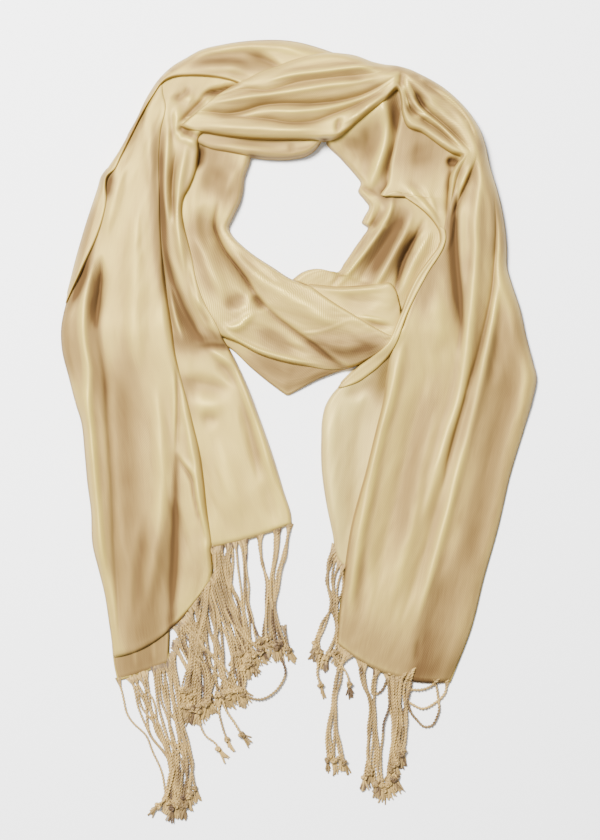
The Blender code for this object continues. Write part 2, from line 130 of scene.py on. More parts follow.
RIGHT_TAIL_BACK = Cloth(
    nodes=("right_tail_back",), flat=(0.088, 0.193), held="laid", inner_roll=4, hem=8,
    sections=(
        (92, 73, 66, 66, 14, 14), (88, 60, 58, 50, 13, 12), (86, 44, 44, 42, 11, 8),
        (85, 32, 32, 34, 9, 6.5), (83, 20, 22.6, 21, 8, 6), (80, 8, 19.3, 8, 7, 6),
        (76, -6, 18.6, -6, 7, 6), (70, -30, 18.8, -30, 7, 6), (62, -60, 22.8, -60, 6, 6),
        (56, -85, 28, -85, 6, 5), (54, -103, 31, -103, 5, 4), (53, -116, 35.5, -109, 4, 4),
    ),
    folds=(
        (2.4, 8, 6, ((31, 26), (27, 5), (26, -25), (29, -60), (34, -95))),
        (-2.6, 12, 7, ((64, 40), (52, 10), (48, -25), (46, -60), (44, -90))),
        (-2, 5, 6, ((64, 42), (48, 30), (34, 27))),
    ),
    shades=(
        (1.2, 9, 9, ((84, 84), (74, 60), (68, 40), (66, 10))),
    ),
)

FRONT_FOLD = Cloth(
    nodes=("front_fold",), rests_on=("right_neck",), flat=(0.08, 0.1), held="folded", inner_roll=3.5,
    sections=(
        (2, 100, 9, 117.3, 15, 13), (14, 94, 20, 116.2, 16, 14), (26, 88, 31, 115.2, 16, 15),
        (42, 78, 50, 116, 17, 16), (60, 68, 66, 117.2, 17, 17), (70, 66, 74.5, 117.5, 17, 17),
        (76, 68, 78.5, 112, 17, 16), (84, 76, 81, 102, 16, 15),
    ),
    folds=(
        (1.6, 2, 3, ((14, 113.5), (34, 111.5), (56, 112.5), (74, 113))),
        (1.8, 1.6, 2.4, ((44, 91.5), (58, 89.5), (76, 86))),
        (-2.6, 1.6, 3, ((52, 88), (64, 84), (77, 82.5)), 1.2),
        (-1.6, 5, 5, ((30, 106), (50, 102), (68, 104))),
    ),
)

FRONT_NECK = Cloth(
    nodes=("front_neck",), rests_on=("front_corner", "front_fold"), flat=(0.115, 0.32), held="gathered",
    outer_roll=4, inner_roll=4,
    sections=(
        (-92, 246, -38, 238, 12, 12), (-96, 232, -37, 228, 12, 12), (-98, 219, -38.3, 217.5, 12, 12),
        (-102, 203, -43, 203, 13, 12), (-104, 190, -44.3, 192, 13, 12), (-104, 180, -46.5, 183.5, 14, 12),
        (-103, 170, -51.5, 173, 14, 12), (-102, 161, -55.6, 163, 14, 11),
        (-100, 152, -52.5, 156.5, 15, 12), (-96, 140, -45, 148.8, 15, 13), (-88, 122, -34, 140, 16, 14),
        (-82, 102, -20, 131, 16, 15), (-74, 88, -6, 122, 15.5, 15), (-65, 77, 8, 116.3, 13.5, 17),
        (-48, 69.5, 20, 108, 11.5, 19), (-31, 60.5, 31, 100.5, 10.5, 20), (-12, 54.5, 40, 95, 10.5, 20),
        (8, 51, 49, 89.5, 10.5, 20), (27, 48.5, 57, 84.5, 11, 20), (45, 51, 66, 79.5, 12, 20),
        (60, 58, 73, 76, 13.5, 20), (76, 67, 80, 76, 16, 19),
    ),
    folds=(
        (-9, 1.4, 5, ((-62, 186), (-66, 173), (-67, 164), (-64, 154), (-59, 144), (-50, 132),
            (-42, 121), (-33, 107), (-24, 97)), 1),
        (-5.5, 1.3, 7, ((-38, 111), (-27, 100), (-18, 91), (-9, 84), (1, 76.5), (11, 69.5), (25, 58.5),
            (38, 49), (52, 38)), 1.1),
        (-5, 2.4, 4, ((-37, 110), (-31, 102), (-25, 96)), 1.7),
        (3, 8, 6, ((-84, 176), (-78, 152), (-71, 130), (-62, 112), (-57, 98))),
        (-2.5, 6, 6, ((-73, 185), (-76, 160), (-71, 140))),
        (-5, 3, 3.5, ((-74, 231), (-77, 225), (-79, 216), (-82, 206)), 1.7),
        (-2, 7, 7, ((-58, 214), (-68, 200), (-78, 190))),
        (1.6, 5, 5, ((-47, 212), (-54, 200), (-58, 186))),
        (-3, 6, 6, ((-56, 94), (-52, 102), (-45, 104), (-39, 100))),
        (3.2, 3, 3.2, ((-60, 88), (-55, 82), (-48, 83), (-41, 89), (-33, 96))),
        (-2.6, 5, 5, ((-38, 82), (-22, 76), (-4, 65), (12, 58))),
        (2.6, 2.2, 2.6, ((-64, 94), (-61, 83), (-52, 74.5), (-38, 66.5), (-18, 59.5), (2, 55), (22, 52))),
        (3.2, 7, 7, ((-52, 142), (-38, 130), (-18, 114), (4, 100), (24, 88), (44, 78))),
        (-1.8, 3, 4, ((-50, 148), (-40, 136), (-26, 124), (-10, 114)), 1.6),
        (0.7, 1, 1.2, ((-6, 78), (8, 77.6), (22, 80), (36, 85.5), (46, 90))),
        (2, 5, 6, ((14, 74), (34, 66), (54, 68))),
    ),
    shades=(
        (0.8, 17, 17, ((-76, 250), (-68, 215), (-58, 190), (-54, 165))),
        (0.65, 8, 8, ((-40, 80), (-20, 72), (0, 62))),
        (1.0, 10, 10, ((-6, 70), (22, 66), (44, 64), (64, 69), (82, 76))),
        (0.35, 8, 8, ((-58, 90), (-50, 102), (-38, 104))),
        (0.5, 9, 9, ((-84, 185), (-82, 160), (-79, 135), (-72, 112), (-66, 95))),
        (0.35, 8, 8, ((-56, 150), (-44, 132), (-30, 116))),
    ),
)

BACK_NECK = Cloth(
    nodes=("back_neck",), rests_on=("front_neck", "right_neck"), flat=(0.08, 0.12), held="folded",
    inner_roll=4.5,
    sections=(
        (-90, 250, -84, 231.5, 15, 15), (-76, 254, -71, 225.5, 16, 15), (-60, 254, -56, 222.5, 16, 15),
        (-45, 254, -40, 219.5, 16, 15), (-25, 254, -22, 217.3, 16, 15), (-6, 254, -4, 217.8, 16, 15),
        (8, 254, 8.5, 221, 16, 15), (18, 254, 15, 226.5, 16, 15), (27, 254, 19.5, 234, 16, 16),
    ),
    folds=(
        (1.8, 3, 3, ((-78, 229.5), (-55, 226.5), (-30, 223.5), (-5, 222.5))),
        (-1.6, 3, 4, ((-60, 232), (-30, 229.5), (0, 229)), 1.5),
        (-1.6, 2, 2, ((-6, 231), (-5, 220)), 1.3),
    ),
    shades=(
        (0.5, 14, 14, ((-100, 236), (-60, 232), (-20, 228), (30, 228))),
    ),
)

LEFT_PLEATS = Cloth(
    nodes=("left_pleats", "left_tail_back"), rests_on=("front_corner", "front_neck"), flat=(0.13, 0.41),
    held="gathered", inner_roll=3.4, hem=5,
    sections=(
        (-105, 286, -30, 284, 13, 13), (-111, 277, -38, 273, 14, 14), (-116, 267, -48, 262, 15, 16),
        (-122, 251, -66, 243, 17, 18), (-123, 236, -79, 235, 17, 18), (-124, 222, -79.5, 222, 17, 18),
        (-125, 206, -82.5, 205, 17, 18), (-125, 195, -86.5, 195, 17, 18), (-125, 186, -91.3, 186, 17, 18),
        (-125, 177, -92.8, 177, 17, 18), (-124, 165, -91.5, 165, 17, 18), (-123, 150, -88, 151, 17, 18),
        (-121, 135, -84.5, 136, 16, 17), (-118, 118, -81, 118, 15, 16), (-115, 98, -73.5, 99, 14, 14),
        (-113, 84, -65.5, 85, 12, 12), (-112, 72, -60, 73, 11, 11), (-112, 63, -55.3, 65.5, 10, 10),
        (-113, 42, -43.5, 42, 9, 9), (-114, 10, -31, 10, 8, 8), (-108, -25, -18.8, -25, 7, 7),
        (-100, -50, -11.2, -50, 7, 7), (-92, -72, -6, -66, 6, 6), (-86, -98, -5, -75.5, 5, 5, 3),
    ),
    folds=(
        (-2.5, 4, 4, ((-106, 262), (-110, 245), (-112.5, 222), (-112, 196))),
        (-4, 3.2, 3.2, ((-112.5, 214), (-112, 196), (-110.5, 175), (-109.5, 150), (-107, 122),
            (-103.5, 98), (-100, 78), (-98, 56)), 1.5),
        (3.2, 3.4, 3.6, ((-102, 252), (-104.5, 225), (-105.3, 200), (-105, 180), (-103, 152))),
        (-5, 2.4, 2.6, ((-96, 228), (-99, 212), (-100.3, 198), (-100.2, 182), (-98.5, 160)), 1.3),
        (3.4, 4, 4, ((-88, 236), (-91, 218), (-94.5, 200), (-96.8, 180), (-95.5, 158), (-92.5, 138),
            (-88, 116))),
        (-6, 3, 8, ((-108, 148), (-105, 135), (-101, 121), (-96.5, 108), (-91, 94), (-83, 79),
            (-72, 66)), 1.6),
        (2.4, 2.4, 2.6, ((-103.5, 118), (-100.5, 100), (-96.5, 84), (-90, 70))),
        (3, 3, 3.5, ((-88, 124), (-83, 106), (-77, 92), (-69, 80), (-62, 72))),
        (-2.6, 2.4, 3, ((-80, 104), (-75, 92), (-68, 81)), 1.5),
        (-8, 2.4, 4, ((-80, 265), (-73, 269.5), (-64, 271.5), (-52, 275), (-44, 279)), 1.6),
        (-5, 2.4, 3, ((-99, 243), (-90, 250), (-82, 258.5), (-75, 265.5), (-68, 270)), 1.6),
        (-9, 4, 4, ((-98, 244), (-90, 239), (-83, 235), (-78, 231)), 1.7),
        (-3, 3, 3.5, ((-103, 268), (-96, 266), (-90, 269), (-88, 277)), 1.6),
        (2, 4, 4, ((-94, 262), (-88, 266), (-82, 264))),
        (1.8, 4, 4, ((-96, 262), (-97, 246), (-95, 232))),
        (-1.8, 3, 3, ((-101, 258), (-101, 240), (-100, 226)), 1.6),
        (-4, 1.2, 3, ((-84, 66), (-76, 67), (-67, 67.5), (-59, 67), (-46, 65)), 1),
        (2.4, 4.5, 4, ((-78, 71), (-68, 64), (-58, 56), (-48, 49))),
        (-2.8, 6, 8, ((-98, 42), (-80, 37), (-64, 34), (-50, 33))),
        (1.8, 9, 9, ((-94, 22), (-74, 20), (-54, 20))),
        (-1.6, 5, 6, ((-80, 11), (-62, 8))),
        (-2.8, 5, 4, ((-47, 30), (-41, 8), (-36, -14), (-31, -44))),
        (2.8, 5, 4, ((-55, 58), (-44, 34), (-34, 5), (-25, -22), (-16, -52))),
        (-2.4, 5, 4, ((-70, 60), (-57, 46), (-48, 32)), 1.5),
        (1.6, 10, 10, ((-64, 0), (-57, -40), (-48, -84))),
        (-1.4, 5, 6, ((-27, -35), (-22, -58), (-17, -78))),
        (-1.6, 6, 6, ((-84, -10), (-76, -45), (-70, -85))),
    ),
    shades=(
        (1.0, 5, 9, ((-103, 128), (-98, 110), (-90, 92), (-80, 77), (-66, 69))),
        (0.5, 8, 8, ((-100, 60), (-92, 30), (-86, 0))),
        (1.0, 8, 9, ((-116, 78), (-98, 72), (-80, 70), (-62, 71), (-44, 66))),
        (1.1, 3.5, 3.5, ((-108, 245), (-109, 210), (-108, 180), (-106.5, 150), (-103, 125), (-99, 95))),
        (0.25, 7, 9, ((-104, 276), (-90, 272), (-76, 276))),
    ),
)

LEFT_TAIL_UNDER = Cloth(
    nodes=("left_tail_under",), flat=(0.09, 0.053), held="laid", outer_roll=1.5, inner_roll=1, hem=3,
    sections=(
        (-150, -150, -104, -140, 2.6, 2.6), (-149.5, -175, -103.5, -165, 2.6, 2.6),
        (-147.8, -190, -104, -178, 2.6, 2.6), (-145.3, -202, -104.5, -187, 2.2, 2.2, 1.2),
    ),
    folds=(
        (0.8, 2, 2, ((-132, -170), (-130, -196))),
        (0.8, 2, 2, ((-116, -165), (-115, -190))),
    ),
    # Painted shade over the whole of this lower layer.
    shades=(
        (1.05, 40, 40, ((-128, -130), (-127, -165), (-125, -200), (-123, -240))),
    ),
)

LEFT_TAIL_FRONT = Cloth(
    nodes=("left_tail_front",), rests_on=("left_pleats", "left_tail_under"), flat=(0.165, 0.45),
    held="laid", outer_roll=9, inner_roll=5.5, hem=4,
    sections=(
        (-112, 278.5, -109, 277.5, 14, 15), (-116.5, 271, -108, 269, 15, 16.5),
        (-121.5, 262, -106, 261, 16, 17.5), (-133.5, 240, -110, 239, 17, 18),
        (-151, 211.5, -111.5, 210, 18, 18), (-160.5, 185, -111, 185, 17, 18),
        (-168, 152, -109.8, 152, 16, 18), (-180, 121, -107, 121, 15, 18),
        (-187.5, 100, -104.2, 100, 14, 17), (-191, 82, -101.6, 84, 14, 17),
        (-190.5, 66, -99.6, 68, 13, 16), (-184.5, 41, -94.5, 44, 12, 14), (-179, 20, -88.5, 22, 12, 12),
        (-175, 7, -84.5, 6, 11, 11), (-172, -20, -78.5, -20, 11, 11), (-170, -42, -75.5, -42, 10, 10),
        (-167, -65, -73.5, -62, 9.5, 9), (-165.3, -95, -70.5, -84, 9, 8, 2),
        (-161, -112, -69.5, -94, 8, 8, 4), (-156, -132, -69, -103, 8, 7, 8),
        (-152, -158, -68.5, -111, 7, 6, 12), (-148.5, -183, -69, -118.5, 5, 5, 14),
    ),
    folds=(
        (4, 4, 5, ((-160, 150), (-166, 125), (-171, 97), (-171.5, 75), (-168, 50), (-168, 22),
            (-165, -20), (-160, -80), (-153, -145))),
        (-4, 3, 4.5, ((-168.5, 139), (-173, 124), (-177, 112), (-181, 99)), 1.6),
        (-8.5, 2.6, 4, ((-157.5, 142), (-157.7, 124), (-159.5, 108), (-161.5, 90), (-161, 76)), 1.1),
        (-3.8, 5, 3, ((-162, 84), (-158, 62), (-154, 40), (-153, 15), (-151, -12), (-149, -45),
            (-147.5, -90), (-145, -135), (-142.5, -180)), 1.4),
        (-2.6, 9, 7, ((-143, 50), (-143, 15), (-140, -20), (-137, -60), (-134, -105))),
        (2.4, 8, 9, ((-128, 190), (-130, 130), (-131, 80), (-127, 40))),
        (2.6, 6, 7, ((-114, 40), (-111, 0), (-108, -40), (-112, -80), (-119, -120), (-124, -150))),
        (-1.8, 4, 3, ((-108, 130), (-104.5, 100), (-101, 75), (-99, 55)), 1.6),
        (-5, 4, 1.2, ((-98, 60), (-97, 45), (-96.4, 20), (-97, 0), (-97.5, -20)), 1),
        (-5, 5, 4.5, ((-97, -12), (-97.6, -30), (-98.3, -60), (-98.6, -88), (-100, -118),
            (-102, -150)), 1.3),
        (-1.2, 5, 6, ((-92, -35), (-92, -70), (-92, -110))),
        (-6, 1.4, 4.5, ((-100, -14), (-97.5, -20), (-91.5, -29), (-85.5, -38), (-83.5, -50),
            (-80, -66), (-76.5, -80), (-73, -96)), 1),
        (2.4, 3.4, 3.4, ((-92.5, 42), (-90, 15), (-86, -8), (-81.5, -32), (-78, -60), (-74.5, -88),
            (-72.5, -112))),
        (-1.8, 4, 4, ((-122, -60), (-128, -110), (-132, -160))),
        (2, 5, 5, ((-117, 252), (-118.5, 230), (-118, 208), (-117, 188))),
        (-2, 5, 5, ((-126, 250), (-136, 226), (-144, 202))),
        (2, 5, 5, ((-138, 215), (-148, 180), (-155, 150))),
    ),
    shades=(
        (1.1, 4, 3.5, ((-97, -8), (-98, -50), (-99, -95), (-102, -150), (-104, -190))),
        (0.7, 3, 8, ((-158, 140), (-160, 100), (-159, 70), (-156, 40), (-153, 0))),
        (0.7, 4, 5, ((-114, 250), (-114.5, 205), (-113, 160), (-110, 120), (-106, 90))),
        (0.5, 2.5, 6, ((-157.5, 138), (-158.5, 118), (-161.5, 96), (-160, 60))),
        (1.3, 3.5, 3.5, ((-147, 210), (-150.5, 198), (-153.5, 180))),
        (1.3, 5, 4, ((-162, 156), (-172, 124), (-179, 108), (-190, 86))),
        (0.8, 17, 13, ((-142, 90), (-140, 20), (-138, -50), (-134, -120), (-130, -215))),
        (0.75, 8, 6, ((-184, 110), (-187, 85), (-184, 60), (-178, 30))),
        (0.45, 5, 6, ((-162, 180), (-165, 155), (-172, 130))),
        (0.65, 14, 12, ((-108, -60), (-112, -110), (-116, -150), (-118, -200))),
        (0.3, 8, 10, ((-84, -70), (-82, -100), (-82, -140))),
    ),
)

OUTER_BAND = Cloth(
    nodes=("outer_band",), rests_on=("left_tail_front", "left_pleats"), flat=(0.05, 0.475), held="laid",
    outer_roll=9, inner_roll=1.6,
    sections=(
        (-187.2, 102, -185.4, 103, 13, 14), (-185.5, 111, -180.5, 113, 14, 15),
        (-183, 121, -176.3, 121, 15, 16), (-179, 137, -168.8, 137, 16, 18),
        (-174.8, 152, -161.8, 152, 17, 18.5), (-170, 168, -156, 169, 17, 19),
        (-165, 183, -153, 185, 18, 19.5), (-161, 195, -153.4, 196, 18, 20),
        (-158.3, 204, -152.2, 202.5, 18, 20), (-152.5, 212, -146.2, 208.5, 18, 19),
        (-145.3, 222, -141.5, 218.5, 18, 18.5), (-136.5, 238.5, -133, 236.5, 18, 18.3),
        (-130, 250, -125.5, 251.5, 18, 18), (-121, 268.5, -115.8, 267.5, 17, 19),
        (-111, 283.2, -107.5, 278.5, 17, 19), (-100.5, 293, -99, 282.3, 17, 18.5),
        (-90, 299.3, -89, 283.3, 17, 18.5), (-80, 305, -79, 283.3, 17, 18.5),
        (-60, 310.3, -60, 281, 17, 18.5), (-45, 312.7, -48, 277.5, 17, 19),
        (-32, 313.8, -38, 272, 17, 19), (-16, 314, -24, 268, 17, 19), (0, 312.2, -4, 270, 17, 19),
        (20, 306.6, 18, 272, 16, 18), (40, 299, 40, 276, 14, 16), (60, 290, 60, 280, 12, 12),
    ),
    folds=(
        (-3.4, 6, 9, ((-90, 294), (-66, 299), (-48, 300.5), (-34, 299.5), (-25, 295.5), (-16, 292))),
        (-4, 2.6, 4, ((-44, 300.5), (-34, 299), (-25, 295.5), (-17, 291.5), (-8, 289)), 1.5),
        (2.6, 5, 5, ((-84, 290), (-60, 290.5), (-36, 287))),
        (2.4, 4.5, 4.5, ((-100, 291), (-84, 300.5), (-62, 305.5), (-36, 308), (-12, 306), (8, 300),
            (22, 296))),
        (-1.4, 3, 4, ((-60, 286), (-44, 282), (-32, 279)), 1.6),
    ),
    shades=(
        (0.35, 8, 8, ((-180, 130), (-170, 165), (-160, 190))),
        (0.3, 6, 6, ((-150, 215), (-135, 240), (-118, 268))),
        (0.3, 8, 8, ((-60, 308), (-30, 311), (0, 309))),
        (0.7, 7, 8, ((-100, 290), (-76, 294), (-50, 294), (-28, 290), (-10, 284))),
    ),
)

TAIL_INNER_PANEL = Cloth(
    nodes=("tail_inner_panel",), rests_on=("right_neck",), flat=(0.115, 0.105), held="folded",
    inner_roll=1.6,
    sections=(
        (136, 246, 82, 256, 17, 14), (134, 236, 80, 243, 17, 14), (132, 222, 77, 228, 16, 14),
        (130, 210, 74, 214, 16, 14), (128, 200, 72.8, 203, 16, 14.5), (127, 192, 71, 195.5, 16, 15),
        (126, 186, 66.5, 187.5, 16.5, 15), (126, 181, 78, 190.8, 17, 16), (125.5, 175, 87, 185, 17, 17),
        (125, 170, 95, 179.5, 18, 18), (124.5, 165, 102.5, 173, 18, 18.5),
        (124, 160, 108.2, 166.5, 18, 18.5), (123, 154, 112.5, 159.5, 18, 18.5),
        (122, 148, 114, 152, 18, 18),
    ),
    folds=(
        (2.8, 3.5, 3, ((77, 198), (86, 193), (95, 186), (103, 178), (110, 168), (114, 158))),
        (-1.6, 3.5, 4, ((86, 202), (96, 193), (106, 181), (113, 168)), 1.8),
        (-1.6, 9, 9, ((92, 232), (98, 218), (100, 206))),
        (-8, 3, 3.6, ((118, 217.5), (124.5, 214.5), (131, 216)), 1.8),
        (-5, 4, 2.5, ((122.5, 216), (122.3, 200), (121, 185), (118.5, 165)), 1.5),
        (1.8, 2.5, 2, ((92, 199), (104, 187), (112, 172))),
    ),
    shades=(
        (0.8, 26, 26, ((101, 290), (101, 240), (97, 188))),
        (0.7, 4, 4, ((126, 222), (122, 205), (120, 180))),
        # A painted highlight along the fold's lit facet.
        (-0.35, 5, 5, ((84, 196), (100, 184), (112, 168))),
    ),
)

OVER_WRAP = Cloth(
    nodes=("top_pleats", "corner_pleats", "right_tail"),
    rests_on=("outer_band", "left_pleats", "back_neck", "right_neck", "tail_inner_panel", "front_fold",
        "front_neck", "right_tail_back"),
    flat=(0.185, 0.69), held="gathered", outer_roll=13, inner_roll=3.6, hem=5, start=3.5,
    sections=(
        (-64, 268, -94, 243.2, 23, 22), (-56, 273.5, -89, 240.4, 24, 23),
        (-50, 276.5, -78, 238.2, 25, 23), (-40, 281, -60, 235, 26, 24), (-28, 287, -38, 232.7, 26, 25),
        (-14, 292, -14, 232, 26, 26), (1, 297.2, 8, 232, 26, 26), (14, 300.3, 21, 231.8, 26, 26),
        (23, 302, 28.5, 232.3, 26, 26), (32, 303, 35, 235.5, 26, 26), (46, 301.4, 46, 244.6, 26, 26),
        (60, 296.3, 58, 254.3, 27, 26), (70, 294, 69, 262.5, 28, 26), (80, 292.9, 79.5, 271.6, 28, 26),
        (89, 290.5, 82, 264, 28, 25), (100, 285.5, 83.3, 252, 27, 24), (110, 280.2, 87.5, 242.2, 26, 24),
        (120, 273.4, 98, 238, 26, 24), (130, 264.4, 106, 232.6, 26, 24), (140, 252.6, 114, 226.5, 26, 25),
        (147, 240.2, 123, 220.8, 26, 26), (150.5, 229.5, 130, 218, 26, 26),
        (152.8, 219, 125.5, 211, 25, 25), (155, 210, 122, 204, 24, 24), (160, 194, 120.5, 192, 22, 23),
        (164, 178, 119, 178, 21, 22), (166.7, 162, 117, 164, 20, 21), (168, 146, 113.5, 148, 19, 20),
        (168.3, 131, 105.5, 133, 18, 19), (173, 115, 97, 119, 18, 19), (178.5, 99, 89, 102, 17, 19),
        (184, 75, 79.5, 77.5, 15, 18), (189.5, 54, 74, 60, 14, 16), (192.3, 42.5, 71, 44, 13, 14),
        (189.5, 26, 68.7, 26, 12, 13), (182, 0, 62.5, 0, 11, 12), (172, -33, 54.5, -33, 10, 11),
        (161, -80, 42.5, -78, 9, 10), (150, -119, 37, -114, 8, 8), (139, -162, 33, -146, 7, 7, 5),
        (122.7, -203.2, 31, -172, 5, 5, 11),
    ),
    folds=(
        # across the crown
        (-3.6, 2.5, 3.5, ((-80, 260), (-60, 268), (-42, 271.8), (-25, 270.5), (0, 277), (30, 281),
            (60, 284), (80, 288)), 1),
        (-7, 3.2, 2.6, ((-92, 249), (-82, 253), (-70, 253.6), (-58, 252.4), (-44, 254.3), (-28, 259),
            (-12, 260.4), (10, 260.2), (34, 262.6), (52, 267.5), (68, 275.4), (80, 283)), 1.2),
        (-5.5, 3.2, 2, ((-62, 250), (-45, 249.6), (-25, 248), (-4, 244.8), (12, 246), (30, 252.4),
            (50, 260.8), (66, 270), (79, 280)), 1.2),
        (-3, 1.8, 1.8, ((34, 251), (32, 243), (31, 235)), 1.6),
        (2.6, 2.6, 2.6, ((-30, 276), (-8, 282), (20, 285.6), (50, 289), (76, 289.5))),
        (2.6, 3, 3, ((-76, 259), (-58, 262), (-34, 266), (-5, 270), (24, 274.5), (52, 278), (72, 283))),
        (1.8, 2.6, 2.6, ((-30, 254.5), (-5, 254), (20, 256.5), (44, 263), (64, 272))),
        (2, 4, 3.4, ((-86, 243), (-60, 241.5), (-25, 239.5), (5, 239), (26, 240))),
        (-1.8, 3, 3, ((-20, 285), (5, 290), (30, 293), (58, 291)), 1.5),
        (2.4, 2.8, 2.8, ((32, 241.5), (46, 250), (60, 260.5), (74, 270))),
        (-4.5, 3, 3, ((84, 287), (82.5, 279), (82, 270)), 1.5),
        # between the two pinches
        (-3, 2.5, 4.5, ((86, 287), (100, 277), (115, 266.5), (127, 257), (135, 247), (139.5, 236),
            (143, 223)), 1.2),
        (-8, 2.2, 2.8, ((85, 283.5), (91, 273.5), (97, 264), (103, 256), (113, 247.5), (124, 237.5),
            (133, 227.5), (139, 219.5)), 1),
        (-4, 1.8, 3, ((93, 272), (98, 263), (103, 254)), 1.6),
        (-5, 2, 2.4, ((88, 262), (92, 254), (97, 249)), 1.8),
        (-8, 2.2, 2.6, ((83.5, 279), (87, 267), (91, 256), (99, 248.5), (111, 240.5), (123, 229.5),
            (132, 220.5)), 1),
        (2, 2.4, 2.4, ((90, 269), (95, 259.5), (102, 251.5), (114, 242), (127, 229), (135, 221))),
        (2, 3, 3, ((104, 279), (122, 266), (136, 251), (144, 235), (148, 222))),
        (-2.6, 6, 5, ((104, 266), (118, 257), (131, 243))),
        # right tail
        (-7, 3.5, 2.4, ((143, 221), (140, 209), (134, 195), (127.5, 180), (121, 166)), 1),
        (-4, 2.4, 2.4, ((135, 219), (129, 206), (125, 192), (121, 176)), 1),
        (2.4, 2.4, 2.4, ((139, 214), (133, 200), (127, 186))),
        (-5, 2, 5, ((128, 200), (127, 182), (126, 162), (126.5, 142), (128, 122), (130, 100),
            (130.5, 78), (127, 56)), 1.5),
        (2.4, 9, 9, ((108, 116), (111, 96), (112, 74), (108, 60))),
        (4.4, 6, 5, ((147, 222), (145.5, 200), (142, 172), (142, 142), (140, 112), (137.5, 88),
            (135, 62), (132.5, 40), (128, 19), (121.5, 0), (115, -20), (107, -48), (96, -85))),
        (-5, 2, 3, ((154.5, 202), (157.5, 180), (158.6, 158), (157.5, 134), (155.5, 112), (152, 92),
            (147.5, 73), (143, 55), (138, 39), (133, 20), (127.5, 1), (122.5, -18), (118, -38),
            (113, -58)), 1),
        (3, 4, 4, ((160.5, 120), (156, 92), (151, 66), (146, 40), (140.5, 14), (134.5, -10),
            (128, -33), (121, -62), (113, -92), (104, -125), (93, -165))),
        (-2.6, 7, 4, ((163, 118), (162, 90), (158, 60), (152, 30))),
        (-3, 12, 12, ((170, 70), (166, 30), (158, -15), (148, -65), (136, -120))),
        (1.8, 5, 6, ((181, 78), (186.5, 54), (184, 30), (176, 0))),
        (-2, 12, 9, ((124, -110), (114, -138), (104, -165), (98, -190))),
        (4, 5, 5, ((88, 88), (82.5, 65), (77.5, 42), (72, 20), (66.5, 0), (62, -20), (57, -45),
            (50.5, -78), (44.5, -118), (41, -155))),
        (-2.6, 7, 7, ((101, 50), (95, 18), (87, -20), (78, -58), (69, -98), (60, -140))),
        (2.2, 6, 6, ((113, 22), (104, -12), (97, -42), (91, -78), (82, -115), (71, -150))),
        (-1.6, 4, 4, ((116, -40), (108, -75), (96, -115), (82, -155))),
        (-1.6, 5, 5, ((54, -90), (52, -125), (50, -160))),
        (-1.2, 2, 2.4, ((98, -165), (95.5, -178), (94.5, -190)), 1.6),
        (-1.6, 4, 5, ((86, 94), (80.5, 76), (76, 60))),
    ),
    shades=(
        (0.75, 20, 14, ((142, -66), (133, -100), (122, -135), (111, -167), (102, -200), (86, -260))),
        (0.35, 7, 6, ((118, -90), (109, -135), (101, -165), (93, -200), (86, -240))),
        (0.55, 30, 30, ((-20, -120), (30, -155), (62, -178), (95, -194), (140, -205), (190, -215))),
        (0.8, 14, 14, ((168, 120), (171, 75), (167, 30), (157, -20), (147, -70), (136, -125))),
        (1.5, 3, 8, ((127, 196), (124.5, 162), (126, 138), (129, 108), (131, 76))),
        (0.7, 10, 10, ((112, 158), (106, 130), (101, 108), (97, 80))),
        (0.5, 10, 9, ((118, 60), (106, 20), (96, -20), (86, -65), (78, -110))),
        (0.4, 9, 9, ((156, 100), (150, 50), (140, 10), (132, -30))),
        (0.4, 12, 12, ((160, 200), (164, 160), (166, 125))),
        (0.35, 10, 10, ((80, 286), (100, 276), (118, 262))),
        (0.3, 6, 8, ((44, -60), (38, -110), (34, -150))),
    ),
)

TAIL_TURNED_EDGE = Cloth(
    nodes=("tail_turned_edge",),
    rests_on=("right_neck", "front_fold", "front_neck", "front_corner", "right_tail_back",
        "tail_inner_panel", "over_wrap"),
    flat=(0.036, 0.18), held="folded", outer_roll=1.4, inner_roll=1.4,
    sections=(
        (117.4, 160, 112.2, 163, 19, 19), (118, 152, 113.6, 152.5, 19, 19),
        (116, 145, 111.5, 146, 20, 20), (111.5, 137, 106.8, 139.5, 20, 20),
        (106, 129, 100.5, 131, 20, 20), (100, 118.5, 94, 121.5, 20, 20), (94, 107, 88, 109.5, 20, 20),
        (87.5, 92.5, 82.3, 94.5, 20, 20), (82.5, 79, 77, 81, 20, 20), (78, 68, 72.5, 70.5, 19, 19),
        (73, 59.5, 66.5, 64, 17, 17), (65.5, 51.5, 59, 58.5, 14, 14), (57, 44.5, 49.5, 52.3, 11, 11),
        (48, 38.3, 41, 44.8, 9, 9), (40, 35.4, 34.5, 38, 8, 8), (34, 33.5, 32, 34.5, 7, 7),
    ),
    folds=(
        (-0.5, 0.9, 0.9, ((116, 150), (109, 138), (97.5, 120), (85, 93.5), (77.5, 76), (71, 64)), 1.2),
    ),
)
# From the table up.
CLOTHS = {
    "front_corner": FRONT_CORNER,
    "right_neck": RIGHT_NECK,
    "right_tail_back": RIGHT_TAIL_BACK,
    "front_fold": FRONT_FOLD,
    "front_neck": FRONT_NECK,
    "back_neck": BACK_NECK,
    "left_pleats": LEFT_PLEATS,
    "left_tail_under": LEFT_TAIL_UNDER,
    "left_tail_front": LEFT_TAIL_FRONT,
    "outer_band": OUTER_BAND,
    "tail_inner_panel": TAIL_INNER_PANEL,
    "over_wrap": OVER_WRAP,
    "tail_turned_edge": TAIL_TURNED_EDGE,
}
BACK_STRETCHES = ("right_tail_back",)     # those that show the cloth's paler back

# ---------------------------------------------------------------- laying the cloth

